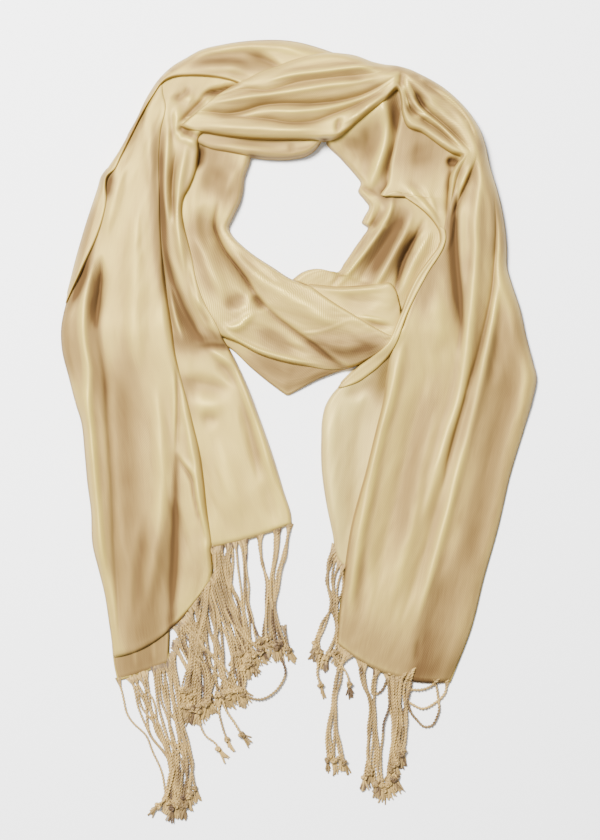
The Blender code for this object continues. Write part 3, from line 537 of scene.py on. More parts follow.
THREAD_THICK = 0.75     # the woven cloth's thickness
ACROSS_PITCH = 1.2      # mesh spacing across and along the cloth
ALONG_PITCH = 1.9
LEAST_ACROSS = 7        # fewest cells across and along a stretch
LEAST_ALONG = 8
UNDER_CELLS = 4         # cells in each half of a stretch's underside
UNDER_EDGE = 0.004      # how near the underside's outermost cells come to the edge, as a share
UNDER_LIFT = 0.45       # underside of the lowest stretch above the table
UNDER_STEP = 0.1        # and how much higher each further one is
TABLE_CLEAR = 0.9       # lowest cloth above the table
LAY_CLEAR = 1.3         # how far one stretch's face stays above another's
LEAST_RISE = 0.2        # of a face above what lies under it, before its sides turn down
TABLE_LOW_X = -230.0
TABLE_LOW_Y = -340.0
TABLE_CELLS_X = 470
TABLE_CELLS_Y = 690
ROUTE_STEP = 3.5        # spacing of the points along a fold's route
FADE = 16               # length in which a fold comes and goes, with a share of its route
FADE_SHARE = 0.15
MOST_FADE = 0.4         # largest share of the route that either end may take
END_WIDTH = 0.5         # a fold's width at its ends, as a share
HEM_RISE = 0.4          # height left at a hem and at a first row that shows, as shares
START_RISE = 0.15
LATTICE = 512           # rows and columns of draws that the smooth noise repeats
MERGE = 1e-6            # how near two points of an open rim are joined, in metres
RUMPLES = ((0.34, 34, 7.5), (0.16, 13, 3.6))    # height of the finest rumples, length, breadth
HOLLOW_SHADE = 0.24      # painted shade: how far hollows, fine creases and steep sides darken the colour
HOLLOW_LIMITS = (-1.2, 4)
FINE_CREASE_SHADE = 0.5
FINE_LIMITS = (-0.5, 1.6)
STEEP_SIDE_SHADE = 0.7
STEEPEST = 0.7
EDGE_SHADE = 0.25        # share of that painted shade left where the sides turn down


def through(rows, places):
    """Smooth curve through the rows, read at places from 0 to 1 along it."""
    rows = np.asarray(rows, float)
    steps = np.hypot(*np.diff(rows[:, :2] + rows[:, 2:4], axis=0).T) + 1e-6
    knots = np.concatenate([[0.0], np.cumsum(steps)])
    knots /= knots[-1]
    slopes = np.gradient(rows, knots, axis=0, edge_order=1)
    at = np.clip(np.searchsorted(knots, places, side="right") - 1, 0, len(knots) - 2)
    span = (knots[at + 1] - knots[at])[:, None]
    u = (places - knots[at])[:, None] / span
    return (
        rows[at] * (1 + 2 * u) * (1 - u) ** 2
        + slopes[at] * span * u * (1 - u) ** 2
        + rows[at + 1] * u * u * (3 - 2 * u)
        + slopes[at + 1] * span * u * u * (u - 1)
    )


def smooth_route(route, spacing):
    """A route's points, evenly spaced along the smooth curve through them."""
    rows = np.array(route, float)
    rows = np.hstack([rows, rows])
    length = np.hypot(*np.diff(rows[:, :2], axis=0).T).sum()
    return through(rows, np.linspace(0, 1, max(6, round(length / spacing) + 1)))[:, :2]


def beside(x, y, route):
    """Distance of points from a route, positive on its left, how far along it they are, and
    the route's length."""
    points = smooth_route(route, ROUTE_STEP)
    steps = np.diff(points, axis=0)
    lengths = np.hypot(*steps.T)
    begins = np.concatenate([[0.0], np.cumsum(lengths)])
    nearest = np.full(np.shape(x), np.inf)
    side = np.zeros_like(nearest)
    place = np.zeros_like(nearest)
    for (ax, ay), (dx, dy), length, begin in zip(points, steps, lengths, begins):
        along = np.clip(((x - ax) * dx + (y - ay) * dy) / length**2, 0, 1)
        off_x = x - ax - along * dx
        off_y = y - ay - along * dy
        far = np.hypot(off_x, off_y)
        closer = far < nearest
        nearest = np.where(closer, far, nearest)
        side = np.where(closer, np.sign(dx * off_y - dy * off_x), side)
        place = np.where(closer, begin + along * length, place)
    return nearest * side, place, begins[-1]


def eased(value):
    value = np.clip(value, 0, 1)
    return value * value * (3 - 2 * value)


def folded(x, y, rise, left, right, route, sharp=2):
    """What one fold adds at each point, fading in and out along its route."""
    off, place, length = beside(x, y, route)
    fade = min(FADE + FADE_SHARE * length, MOST_FADE * length)
    ends = eased(place / fade) * eased((length - place) / fade)
    width = np.where(off > 0, left, right) * (END_WIDTH + (1 - END_WIDTH) * ends)
    return rise * ends * np.exp(-((np.abs(off) / width) ** sharp))


def noise(a, b, seed):
    """Seeded smooth noise from -1 to 1 on a unit lattice."""
    table = np.random.default_rng(seed).uniform(-1, 1, (LATTICE, LATTICE))
    low_a, low_b = np.floor(a).astype(int), np.floor(b).astype(int)
    mix_a, mix_b = eased(a - low_a), eased(b - low_b)

    def corner(step_a, step_b):
        return table[(low_a + step_a) % LATTICE, (low_b + step_b) % LATTICE]

    near = corner(0, 0) * (1 - mix_b) + corner(0, 1) * mix_b
    far = corner(1, 0) * (1 - mix_b) + corner(1, 1) * mix_b
    return near * (1 - mix_a) + far * mix_a


def rounded(from_side, roll):
    """Quarter round beside a folded edge: 0 at the edge, 1 from the roll's width inwards."""
    if not roll:
        return np.ones_like(from_side)
    return np.sqrt(np.maximum(1 - (1 - np.minimum(from_side / roll, 1)) ** 2, 0))


def windows(values, reach):
    """A grid moved over itself to every place within a square window."""
    rows, columns = values.shape
    padded = np.pad(values, reach, mode="edge")
    return [
        padded[i : i + rows, j : j + columns]
        for i in range(2 * reach + 1)
        for j in range(2 * reach + 1)
    ]


def softened(values, *reaches):
    """Mean over square windows, one after another."""
    for reach in reaches:
        values = np.mean(windows(values, reach), axis=0)
    return values


class Table:
    """Height of everything laid so far, in cells of one millimetre."""

    def __init__(self):
        self.heights = np.zeros((TABLE_CELLS_X, TABLE_CELLS_Y))
        self.settle()

    def settle(self):
        """Softens the heights as they are now, for what is laid next."""
        self.soft = softened(self.heights, 1)

    def read(self, x, y):
        """Softened height at points of the plan."""
        at_x = np.clip(x - TABLE_LOW_X, 0, TABLE_CELLS_X - 2)
        at_y = np.clip(y - TABLE_LOW_Y, 0, TABLE_CELLS_Y - 2)
        low_x, low_y = at_x.astype(int), at_y.astype(int)
        mix_x, mix_y = at_x - low_x, at_y - low_y
        soft = self.soft
        near = soft[low_x, low_y] * (1 - mix_y) + soft[low_x, low_y + 1] * mix_y
        far = soft[low_x + 1, low_y] * (1 - mix_y) + soft[low_x + 1, low_y + 1] * mix_y
        return near * (1 - mix_x) + far * mix_x

    def add(self, laid):
        """Raises the cells under a laid face, read at its points and between them."""
        for share_a in (0.0, 1 / 3, 2 / 3):
            for share_b in (0.0, 0.5):
                part = laid[:, :-1, :-1] * (1 - share_a) * (1 - share_b)
                part = part + laid[:, 1:, :-1] * share_a * (1 - share_b)
                part = part + laid[:, :-1, 1:] * (1 - share_a) * share_b
                part = part + laid[:, 1:, 1:] * share_a * share_b
                cell_x = np.rint(part[0] - TABLE_LOW_X).astype(int)
                cell_y = np.rint(part[1] - TABLE_LOW_Y).astype(int)
                np.maximum.at(self.heights, (cell_x, cell_y), part[2])


def painted_shade_of(height, drop, step_along, step_across):
    """Painted shade from the form alone: darker in hollows, beside fine creases and on steep sides."""
    near = softened(height, 2, 3)
    far = softened(height, 6, 6)
    soft = softened(height, 1)
    hollow = softened(0.5 * (near - soft) + 0.5 * (far - soft), 1)
    per_row, per_column = np.gradient(softened(height, 3, 3))
    steep = np.hypot(per_row / step_along, per_column / step_across)
    fine = softened(height, 2) - soft
    tone = (
        HOLLOW_SHADE * np.clip(hollow, *HOLLOW_LIMITS)
        + FINE_CREASE_SHADE * np.clip(fine, *FINE_LIMITS)
        + STEEP_SIDE_SHADE * np.minimum(steep, STEEPEST)
    )
    return tone * (EDGE_SHADE + (1 - EDGE_SHADE) * drop)


def lay(cloth, table, seed):
    """Upper face of a stretch laid over the table: x, y, height and painted shade, along by across."""
    rows = np.array([Section(*section) for section in cloth.sections])
    middle = (rows[:, :2] + rows[:, 2:4]) / 2
    length = np.hypot(*np.diff(middle, axis=0).T).sum()
    width = np.hypot(*(rows[:, 2:4] - rows[:, :2]).T).max()
    cells_along = max(LEAST_ALONG, round(length / ALONG_PITCH))
    cells_across = max(LEAST_ACROSS, round(width / ACROSS_PITCH))
    places = np.linspace(0, 1, cells_along + 1)
    row = through(rows, places)
    across = np.linspace(0, 1, cells_across + 1)[None, :]
    outer, inner = row[:, 0:2], row[:, 2:4]
    heading = np.gradient(outer + inner, axis=0)
    heading /= np.hypot(*heading.T)[:, None] + 1e-9
    bow = row[:, 6:7] * 4 * across * (1 - across)
    x, y = (
        outer[:, i : i + 1] + (inner - outer)[:, i : i + 1] * across + heading[:, i : i + 1] * bow
        for i in (0, 1)
    )
    height = row[:, 4:5] + (row[:, 5:6] - row[:, 4:5]) * across
    for fold in cloth.folds:
        height = height + folded(x, y, *fold)
    wide = np.hypot(*(inner - outer).T)[:, None]
    run = places[:, None] * length
    for number, (rise, long, broad) in enumerate(RUMPLES):
        height = height + rise * noise(run / long, across * wide / broad, seed + number)

    # It rests on what lies below, and its sides and ends turn down.
    below = table.read(x, y)
    lift = np.maximum(0, below + LAY_CLEAR - height)
    height = height + softened(np.max(windows(lift, 2), axis=0), 2)
    drop = rounded(across * wide, cloth.outer_roll)
    drop = drop * rounded((1 - across) * wide, cloth.inner_roll) * np.ones_like(height)
    if cloth.hem:
        drop = drop * (HEM_RISE + (1 - HEM_RISE) * rounded(length - run, cloth.hem))
    if cloth.start:
        drop = drop * (START_RISE + (1 - START_RISE) * rounded(run + 0.01, cloth.start))
    floor = below + THREAD_THICK
    height = floor + np.maximum(height - floor, LEAST_RISE) * drop
    height = np.maximum(height, TABLE_CLEAR)

    # Painted shade from the form, then darkened or lightened along the stretch's shades.
    tone = painted_shade_of(height, drop, length / cells_along, wide / cells_across)
    for shade in cloth.shades:
        tone = tone + folded(x, y, *shade)
    return np.array([x, y, height, tone])


def closed_loop(laid, level):
    """A laid face with its underside: the same rows, each going once round the stretch."""
    half = np.linspace(0.5, UNDER_EDGE, UNDER_CELLS)
    cells = laid.shape[2] - 1

    def underside(shares):
        at = shares * cells
        low = np.minimum(at.astype(int), cells - 1)
        mix = at - low
        flat = laid[:2, :, low] * (1 - mix) + laid[:2, :, low + 1] * mix
        return np.concatenate([flat, np.full_like(flat[:1], level), np.zeros_like(flat[:1])])

    return np.concatenate([underside(half), laid, underside(1 - half[::-1])], axis=2)


def cloth_mesh(name, loop):
    """A mesh from a loop of rows, closed round its width, with its thread directions as UVs and its
    painted shade on each point.
    """
    _, rows, columns = loop.shape
    grid = bmesh.new()
    uv_layer = grid.loops.layers.uv.new("threads")
    painted_shade_layer = grid.verts.layers.float.new("tone")
    bmesh.ops.create_grid(grid, x_segments=rows - 1, y_segments=columns - 1, size=0.5)
    places = loop[:3].transpose(1, 2, 0) * MM
    places[..., 0] -= CENTRE_X * MM
    places[..., 1] -= CENTRE_Y * MM
    steps = np.linalg.norm(np.diff(places, axis=1), axis=2)
    around = np.concatenate([np.zeros((rows, 1)), np.cumsum(steps, axis=1)], axis=1)
    around -= around[:, columns // 2][:, None]
    middle = places[:, columns // 2]
    ahead = np.linalg.norm(np.diff(middle[:, :2], axis=0), axis=1)
    ahead = np.concatenate([[0.0], np.cumsum(ahead)])
    for vertex in grid.verts:
        i = round((vertex.co.x + 0.5) * (rows - 1))
        j = round((vertex.co.y + 0.5) * (columns - 1))
        vertex.co = places[i, j]
        vertex[painted_shade_layer] = loop[3, i, j]
        for corner in vertex.link_loops:
            corner[uv_layer].uv = (around[i, j], ahead[i])
    rim = [vertex for vertex in grid.verts if vertex.is_boundary]
    bmesh.ops.remove_doubles(grid, verts=rim, dist=MERGE)
    top = max(grid.verts, key=lambda vertex: vertex.co.z)
    grid.normal_update()
    if top.normal.z < 0:
        bmesh.ops.reverse_faces(grid, faces=grid.faces)
    mesh = bpy.data.meshes.new(name)
    grid.to_mesh(mesh)
    grid.free()
    mesh.shade_smooth()
    return mesh


def add_object(name, data):
    thing = bpy.data.objects.new(name, data)
    bpy.context.scene.collection.objects.link(thing)
    return thing


def thicken(thing):
    """Gives a laid stretch its thickness, inwards from its outer face."""
    thickness = thing.modifiers.new("thickness", "SOLIDIFY")
    thickness.thickness = THREAD_THICK * MM
    thickness.offset = -1
    thickness.use_rim = True


# ---------------------------------------------------------------- the fringe's own tables

# Fringe by group: the solid that it stands for, the stretch it hangs from, its locks and its
# loose strands. A lock is a number of strands that hang together, how far they lie above the
# table, and lines across them from the hem, through where they gather, to their knots. A loose
# strand says whether it ends in a knot and a tuft, how far it lies above the table, and its
# route.
Fringe = namedtuple("Fringe", "solid hem locks loose")
FRINGES = {
    "left_back": Fringe("fringe_left_back", "left_pleats", (
        (9, 0, (((-70, -92), (-61, -93)), ((-66, -118), (-58, -116)), ((-56, -145), (-48, -140)),
            ((-48, -168), (-42, -160)), ((-50, -181), (-42, -178)))),
        (7, 0.6, (((-59, -91), (-50, -89)), ((-60, -112), (-50, -110)), ((-56, -140), (-46, -138)),
            ((-48, -165), (-39, -160)), ((-45, -192), (-35, -186)))),
        (4, 0.3, (((-47, -88), (-42, -86)), ((-45, -110), (-41, -112)), ((-43, -140), (-39, -140)),
            ((-38, -180), (-30, -168)))),
        (3, 0, (((-33, -83), (-29, -82)), ((-31, -105), (-27, -105)), ((-27, -125), (-24, -125)),
            ((-28, -148), (-25, -150)), ((-31, -172), (-24, -166)))),
        (4, 0.4, (((-20, -79), (-14, -76)), ((-19, -100), (-17, -100)), ((-23, -122), (-19, -122)),
            ((-22, -150), (-19, -150)), ((-21, -174), (-15, -176)))),
        (3, 0.8, (((-8, -76), (-5.5, -76)), ((-12, -100), (-9, -98)), ((-17, -120), (-15, -120)),
            ((-19, -148), (-18, -150)), ((-16, -170), (-10, -174)))),
        (5, 1.9, (((-69, -94), (-64, -93)), ((-66, -120), (-60, -118)), ((-56, -150), (-50, -146)),
            ((-44, -172), (-36, -166)), ((-40, -184), (-30, -178)))),
    ), (
        (False, 0.2, ((-14, -182), (-11, -197), (-17, -209), (-28, -216.5), (-42, -213), (-50, -206),
            (-53, -198))),
        (False, 1.4, ((-44, -190), (-43, -204), (-46, -211), (-52, -208), (-56, -200), (-54, -192))),
        (True, 1.4, ((-12, -158), (-10, -166), (-8, -174), (-7, -177))),
    )),
    "left_middle": Fringe("fringe_left_middle", "left_tail_front", (
        (5, 2.8, (((-96, -156), (-88, -149)), ((-84, -176), (-76, -168)), ((-70, -196), (-62, -188)),
            ((-58, -212), (-44, -208)))),
        (5, 2.4, (((-76, -126), (-70, -119)), ((-80, -150), (-74, -146)), ((-86, -180), (-79, -176)),
            ((-94, -208), (-87, -212)))),
        (7, 2.2, (((-99, -160), (-91, -152)), ((-92, -178), (-84, -170)), ((-80, -202), (-72, -196)),
            ((-80, -224), (-68, -216)))),
        (9, 1.6, (((-89, -149), (-80, -131)), ((-86, -165), (-76, -157)), ((-88, -196), (-76, -188)),
            ((-92, -222), (-80, -225)))),
        (9, 1.2, (((-79, -129), (-70, -120)), ((-76, -158), (-66, -150)), ((-72, -186), (-60, -180)),
            ((-70, -214), (-56, -212)))),
        (6, 0.8, (((-72, -120), (-68, -116)), ((-68, -146), (-58, -142)), ((-60, -172), (-50, -170)),
            ((-58, -206), (-44, -212)))),
        (4, 0.2, (((-101, -176), (-99, -168)), ((-92, -196), (-88, -188)), ((-84, -214), (-80, -206)),
            ((-86, -228), (-74, -222)))),
    ), (
        (True, 1.5, ((-81, -222), (-79, -234), (-75, -246), (-67, -253), (-65, -257))),
        (True, 1.0, ((-63, -214), (-63, -228), (-61, -240), (-58, -249))),
        (True, 1.8, ((-62, -212), (-57, -226), (-50, -238), (-45, -245))),
    )),
    "left_front": Fringe("fringe_left_front", "left_tail_front", (
        (7, 0.2, (((-139, -200.5), (-122, -194)), ((-129, -222), (-117, -220)), ((-119, -244),
            (-110, -240)), ((-107, -270), (-100, -268)), ((-106, -297), (-97, -300)))),
        (7, 0.9, (((-117, -191), (-106, -188)), ((-112, -220), (-102, -215)), ((-106, -246),
            (-98, -240)), ((-101, -272), (-91, -268)), ((-101, -303), (-90, -301)))),
        (6, 1.6, (((-105, -188), (-100, -178)), ((-101, -215), (-96, -212)), ((-98, -242),
            (-92, -238)), ((-92, -268), (-83, -264)), ((-93, -300), (-82, -288)))),
    ), (
        (True, 0.4, ((-144.5, -200), (-140, -218), (-134.5, -234), (-123, -246), (-115, -262),
            (-108, -280), (-107, -296))),
        (True, 2.4, ((-99, -270), (-102, -286), (-106, -297), (-112, -302))),
    )),
    "right_back": Fringe("fringe_right_back", "right_tail_back", (
        (4, 0, (((29, -91), (31.5, -101)), ((24, -105), (28, -109)), ((22, -122), (26, -122)),
            ((26, -140), (29, -140)), ((17, -158), (21, -160)), ((13, -174), (18, -178)))),
        (4, 0.5, (((32.5, -104), (37, -109)), ((29, -125), (36, -125)), ((26, -143), (31, -142)),
            ((27, -158), (32, -160)), ((21, -184), (30, -178)))),
    ), (
        (True, 0.9, ((19, -178), (17, -188), (16, -198), (18, -205))),
        (True, 1.1, ((26, -178), (33, -188), (39, -198), (41, -205))),
    )),
    "right_front": Fringe("fringe_right_front", "over_wrap", (
        (6, 0.6, (((33, -172), (44, -180)), ((28, -197), (35, -198)), ((27, -222), (31, -222)),
            ((24, -246), (32, -248)), ((24, -264), (37, -266)))),
        (4, 0.3, (((47, -183), (54, -187)), ((52, -205), (56, -205)), ((58, -222), (60, -222)),
            ((56, -245), (60, -245)), ((51, -282), (58, -276)))),
        (3, 0.3, (((61, -190), (66, -193)), ((61, -211), (62, -208)), ((61, -232), (62, -230)),
            ((61, -256), (64, -256)), ((60, -284), (66, -286)))),
        (9, 0.2, (((70, -195), (82, -197)), ((73, -214), (81, -214)), ((76, -240), (83, -238)),
            ((75, -262), (81, -258)), ((70, -288), (79, -278)))),
        (9, 1.3, (((80, -197), (96, -188)), ((79, -210), (90, -208)), ((79, -234), (87, -232)),
            ((77, -256), (85, -252)), ((75, -274), (84, -260)))),
    ), (
        (False, 0.3, ((62, -192), (60.5, -204), (61, -213), (66, -211), (71, -201), (73, -196))),
        (True, 0.4, ((71, -197), (73, -208), (73.5, -221), (69, -238), (67, -256), (67, -272),
            (68, -286))),
        (False, 0.3, ((121, -201), (118, -212), (110, -220), (99, -225), (90, -220), (85, -210))),
        (False, 0.8, ((115, -198), (106, -206), (96, -209), (89, -208), (84, -203))),
        (False, 0.2, ((110, -199), (112, -214), (112.5, -228), (108, -239), (102, -240), (94, -232),
            (88, -219), (84, -207))),
    )),}

# ---------------------------------------------------------------- twisting the fringe

STRAND_RADIUS = 0.87    # of a two-ply strand, as a mean round its figure-of-eight section
STRAND_WAIST = 0.42     # how far that section widens across the plies and narrows between
TWIST_PITCH = 5.2       # length in which the two plies go once round each other
STRAND_STEP = 0.98      # spacing of a strand's points
PLY_POINTS = 8          # points round its section
STRAND_SIZES = (0.84, 1.12)
LOOP_SIZE = 1.1         # of a strand that loops back and has no knot
STRAND_TONES = (-0.4, 0.9)
SWAY_RUN = 13           # lengths in which a strand sways sideways and up
RISE_RUN = 16
ROOT_RUN = 5            # length in which a strand leaves its hem
STRAND_CLEAR = 0.7      # of a strand's middle above what it lies on
ROOT_SINK = 0.55        # height at the hem, as a share of the cloth's, and above that
ROOT_CLEAR = 0.6
KNOT_POINTS = 30
KNOT_SCALE = (0.62, 0.62, 0.55)
KNOT_SIZE = 1.15
KNOT_CLEAR = 0.6        # of a knot's middle above its strand's end
TUFT_THREADS = 8
TUFT_POINTS = 8
TUFT_LENGTHS = (7.0, 12.5)
TUFT_SIZES = (0.4, 0.62)
TUFT_HEIGHTS = (0.5, 2.4)
TUFT_LEAN = 0.25        # turn of a whole tuft from its strand's heading, and of each thread
TUFT_SPREAD = 0.17
TUFT_BEND = 1.0
TUFT_ROOT = 0.55        # how far apart its threads start
FAN_POINTS = 6
FAN_REACH = 8           # strand points that a hem's threads run down before they join it
FAN_SIDES = (-2.1, -1.1, 1.1, 2.1)
FAN_INSET = 0.8         # how far inside the hem they start
FAN_SINK = 0.6          # height there, as a share of the cloth's, and above that
FAN_CLEAR = 0.5
FAN_SIZE = 0.45
FAN_TONE = 0.3
HEM_STRAY = 0.04        # how far a strand strays from its share of a lock, at the hem and below
STRAY = 0.5
STRAY_LIMITS = (-0.1, 1.1)
SLIP = 1.2

# A run of yarn: its points in millimetres, its size against a strand's, and its twist.
Yarn = namedtuple("Yarn", "points size twisted tone")


def swaying(step, run, draw, seed):
    """Smooth noise along a strand, from a place of its own."""
    return noise(step / run, np.full(len(step), draw.uniform(0, 400)), seed)


def on_table(route, table, lift, draw):
    """A strand's points along its route, resting on the table and on the cloth under it."""
    points = smooth_route(route, STRAND_STEP)
    step = np.arange(len(points)) * STRAND_STEP
    sway = swaying(step, SWAY_RUN, draw, 5)
    away = np.gradient(points, axis=0)
    away /= np.hypot(*away.T)[:, None] + 1e-9
    points = points + sway[:, None] * np.stack([-away[:, 1], away[:, 0]], axis=1)
    under = table.read(points[:, 0], points[:, 1])
    own = 1.0 + lift + draw.uniform(0, 1.0)
    height = own + 0.5 * (1 + swaying(step, RISE_RUN, draw, 6))
    root = eased(step / ROOT_RUN)
    at_hem = ROOT_SINK * under + ROOT_CLEAR
    height = np.maximum(height, under + STRAND_CLEAR) * root + at_hem * (1 - root)
    return np.column_stack([points, height])


def knot(place, draw):
    """A small overhand knot: a closed run of yarn drawn tight."""
    turn = np.linspace(0, tau, KNOT_POINTS)
    loop = np.column_stack([
        np.sin(turn) + 2 * np.sin(2 * turn),
        np.cos(turn) - 2 * np.cos(2 * turn),
        -1.3 * np.sin(3 * turn),
    ])
    lean = draw.uniform(0, tau)
    loop[:, :2] = loop[:, :2] @ np.array([[cos(lean), sin(lean)], [-sin(lean), cos(lean)]])
    loop = loop * np.array(KNOT_SCALE) * draw.uniform(0.85, 1.15)
    loop = loop + place + np.array([0, 0, KNOT_CLEAR])
    return Yarn(loop, KNOT_SIZE, True, draw.uniform(-0.1, 0.4))


def tuft(place, heading, draw):
    """The brushed-out end of a strand below its knot."""
    aim = np.arctan2(heading[1], heading[0]) + draw.uniform(-TUFT_LEAN, TUFT_LEAN)
    along = np.linspace(0, 1, TUFT_POINTS)[:, None]
    for _ in range(TUFT_THREADS):
        way = aim + draw.normal(0, TUFT_SPREAD)
        length = draw.uniform(*TUFT_LENGTHS)
        bend = draw.normal(0, TUFT_BEND)
        straight = np.array([[cos(way), sin(way)]]) * along * length
        across = np.array([[-sin(way), cos(way)]]) * along**2 * bend
        low = place[2] * (1 - along) + draw.uniform(*TUFT_HEIGHTS) * along
        side = draw.normal(0, TUFT_ROOT, 2)
        flat = place[None, :2] + side * (1 - 0.5 * along) + straight + across
        size = draw.uniform(*TUFT_SIZES)
        yield Yarn(np.hstack([flat, low]), size, False, draw.uniform(-0.25, 0.25))


def root_fan(points, table, draw):
    """The warp threads that gather from the hem into a strand."""
    top, low = points[0], points[min(FAN_REACH, len(points) - 1)]
    way = (low - top)[:2] / (np.hypot(*(low - top)[:2]) + 1e-9)
    along = np.linspace(0, 1, FAN_POINTS)[:, None]
    for side in FAN_SIDES:
        start = top[:2] + side * np.array([-way[1], way[0]]) - way * FAN_INSET
        flat = start * (1 - along) + low[:2] * along
        height = FAN_SINK * table.read(start[0], start[1]) + FAN_CLEAR
        rise = height * (1 - along) + low[2] * along
        size = FAN_SIZE + draw.uniform(0, 0.15)
        yield Yarn(np.hstack([flat, rise]), size, False, FAN_TONE)


def lock_routes(count, lines, draw):
    """A route for each strand of a lock, through a point on each of its lines."""
    for number in range(count):
        share = (number + 0.5) / count
        route = []
        for (ax, ay), (bx, by) in lines:
            stray = STRAY if route else HEM_STRAY
            at = np.clip(share + draw.uniform(-stray, stray), *STRAY_LIMITS)
            slip = draw.normal(0, SLIP) if route else 0
            route.append((ax + (bx - ax) * at, ay + (by - ay) * at + slip))
        yield route


def fringe_yarns(fringe, table, draw):
    """Every run of yarn of one group of the fringe."""
    strands = [
        (True, lift, route)
        for count, lift, lines in fringe.locks
        for route in lock_routes(count, lines, draw)
    ]
    yarns = []
    for knotted, lift, route in strands + list(fringe.loose):
        points = on_table(route, table, lift, draw)
        size = draw.uniform(*STRAND_SIZES) if knotted else LOOP_SIZE
        yarns.append(Yarn(points, size, True, draw.uniform(*STRAND_TONES)))
        yarns += root_fan(points, table, draw)
        if knotted:
            yarns.append(knot(points[-1], draw))
            yarns += tuft(points[-1], points[-1] - points[-8], draw)
    return yarns


def yarn_mesh(name, yarns):
    """One mesh of two-ply yarns."""
    ply = bpy.data.curves.new("ply", "CURVE")
    section = ply.splines.new("POLY")
    section.points.add(PLY_POINTS - 1)
    section.use_cyclic_u = True
    for number, point in enumerate(section.points):
        turn = tau * number / PLY_POINTS
        reach = STRAND_RADIUS * MM * (1 + STRAND_WAIST * cos(2 * turn))
        point.co = (reach * cos(turn), reach * sin(turn), 0, 1)
    ply_object = add_object("ply", ply)
    curve = bpy.data.curves.new(name, "CURVE")
    curve.dimensions = "3D"
    curve.bevel_mode = "OBJECT"
    curve.bevel_object = ply_object
    curve.use_fill_caps = True
    for yarn in yarns:
        count = len(yarn.points)
        places = (yarn.points - np.array([CENTRE_X, CENTRE_Y, 0])) * MM
        steps = np.linalg.norm(np.diff(yarn.points, axis=0), axis=1)
        length = np.concatenate([[0.0], np.cumsum(steps)])
        points = curve.splines.new("POLY").points
        points.add(count - 1)
        points.foreach_set("co", np.column_stack([places, np.ones(count)]).ravel())
        points.foreach_set("radius", np.full(count, yarn.size))
        if yarn.twisted:
            points.foreach_set("tilt", length * tau / TWIST_PITCH)
    maker = add_object(name + "_curve", curve)
    graph = bpy.context.evaluated_depsgraph_get()
    mesh = bpy.data.meshes.new_from_object(maker.evaluated_get(graph))
    for helper in (maker, ply_object):
        bpy.data.objects.remove(helper, do_unlink=True)
    tones = np.repeat(
        [yarn.tone for yarn in yarns], [PLY_POINTS * len(yarn.points) for yarn in yarns]
    )
    layer = mesh.attributes.new("tone", "FLOAT", "POINT")
    layer.data.foreach_set("value", np.resize(tones, len(mesh.vertices)))
    mesh.name = name
    mesh.shade_smooth()
    return mesh


# ---------------------------------------------------------------- materials


class Wire:
    """A shader socket that can be used in Python arithmetic."""

    def __init__(self, nodes, socket):
        self.nodes = nodes
        self.socket = socket

    def _maths(self, operation, *values):
        return self.nodes.add("ShaderNodeMath", {"operation": operation}, values)[0]

    def __add__(self, other):
        return self._maths("ADD", self, other)

    def __radd__(self, other):
        return self._maths("ADD", other, self)

    def __sub__(self, other):
        return self._maths("SUBTRACT", self, other)

    def __rsub__(self, other):
        return self._maths("SUBTRACT", other, self)

    def __mul__(self, other):
        return self._maths("MULTIPLY", self, other)

    def __rmul__(self, other):
        return self._maths("MULTIPLY", other, self)

    def sine(self):
        return self._maths("SINE", self)

    def clamped(self):
        settings = {"operation": "ADD", "use_clamp": True}
        return self.nodes.add("ShaderNodeMath", settings, (self, 0.0))[0]


class Nodes:
    """The nodes of one material."""

    def __init__(self, name):
        self.material = bpy.data.materials.new(name)
        self.material.use_nodes = True
        self.tree = self.material.node_tree
        self.tree.nodes.clear()

    def add(self, kind, settings=(), values=()):
        """Adds a node: its settings, then its sockets' values or links, by place or by name."""
        node = self.tree.nodes.new(kind)
        for key, value in dict(settings).items():
            setattr(node, key, value)
        pairs = values.items() if isinstance(values, dict) else enumerate(values)
        for key, value in pairs:
            if isinstance(value, Wire):
                self.tree.links.new(value.socket, node.inputs[key])
            else:
                node.inputs[key].default_value = value
        return [Wire(self, socket) for socket in node.outputs]

    def place(self):
        """Object coordinates."""
        return self.add("ShaderNodeTexCoord")[3]

    def tone(self):
        """The tone stored on the mesh: painted shade on the cloth, and each yarn's own tone on the
        fringe.
        """
        return self.add("ShaderNodeAttribute", {"attribute_name": "tone"})[2]

    def blend(self, factor, first, second):
        """A colour between two colours."""
        settings = {"data_type": "RGBA", "clamp_factor": True}
        return self.add("ShaderNodeMix", settings, {0: factor, 6: first, 7: second})[2]

    def cloud(self, vector, scale, detail=2.0):
        """Smooth noise from 0 to 1."""
        values = {"Vector": vector, "Scale": scale, "Detail": detail}
        return self.add("ShaderNodeTexNoise", (), values)[0]

    def bump(self, strength, distance, height):
        values = {"Strength": strength, "Distance": distance, "Height": height}
        return self.add("ShaderNodeBump", (), values)[0]

    def finish(self, values):
        """Ends the material with its shader."""
        shader = self.add("ShaderNodeBsdfPrincipled", (), values)[0]
        self.add("ShaderNodeOutputMaterial", (), (shader,))
        return self.material


def colour(red, green, blue):
    return (red, green, blue, 1.0)


RIB_PITCH = 0.0018      # of the twill, in metres of cloth
THREAD_STREAKS = (900.0, 60.0, 1.0)     # streaks per metre across the threads and along them
DYE_SCALE = 26.0        # of the broad unevenness in the cloth's tone
YARN_SCALE = 60.0       # and of the same in the fringe
FIBRE_SCALE = 1400.0


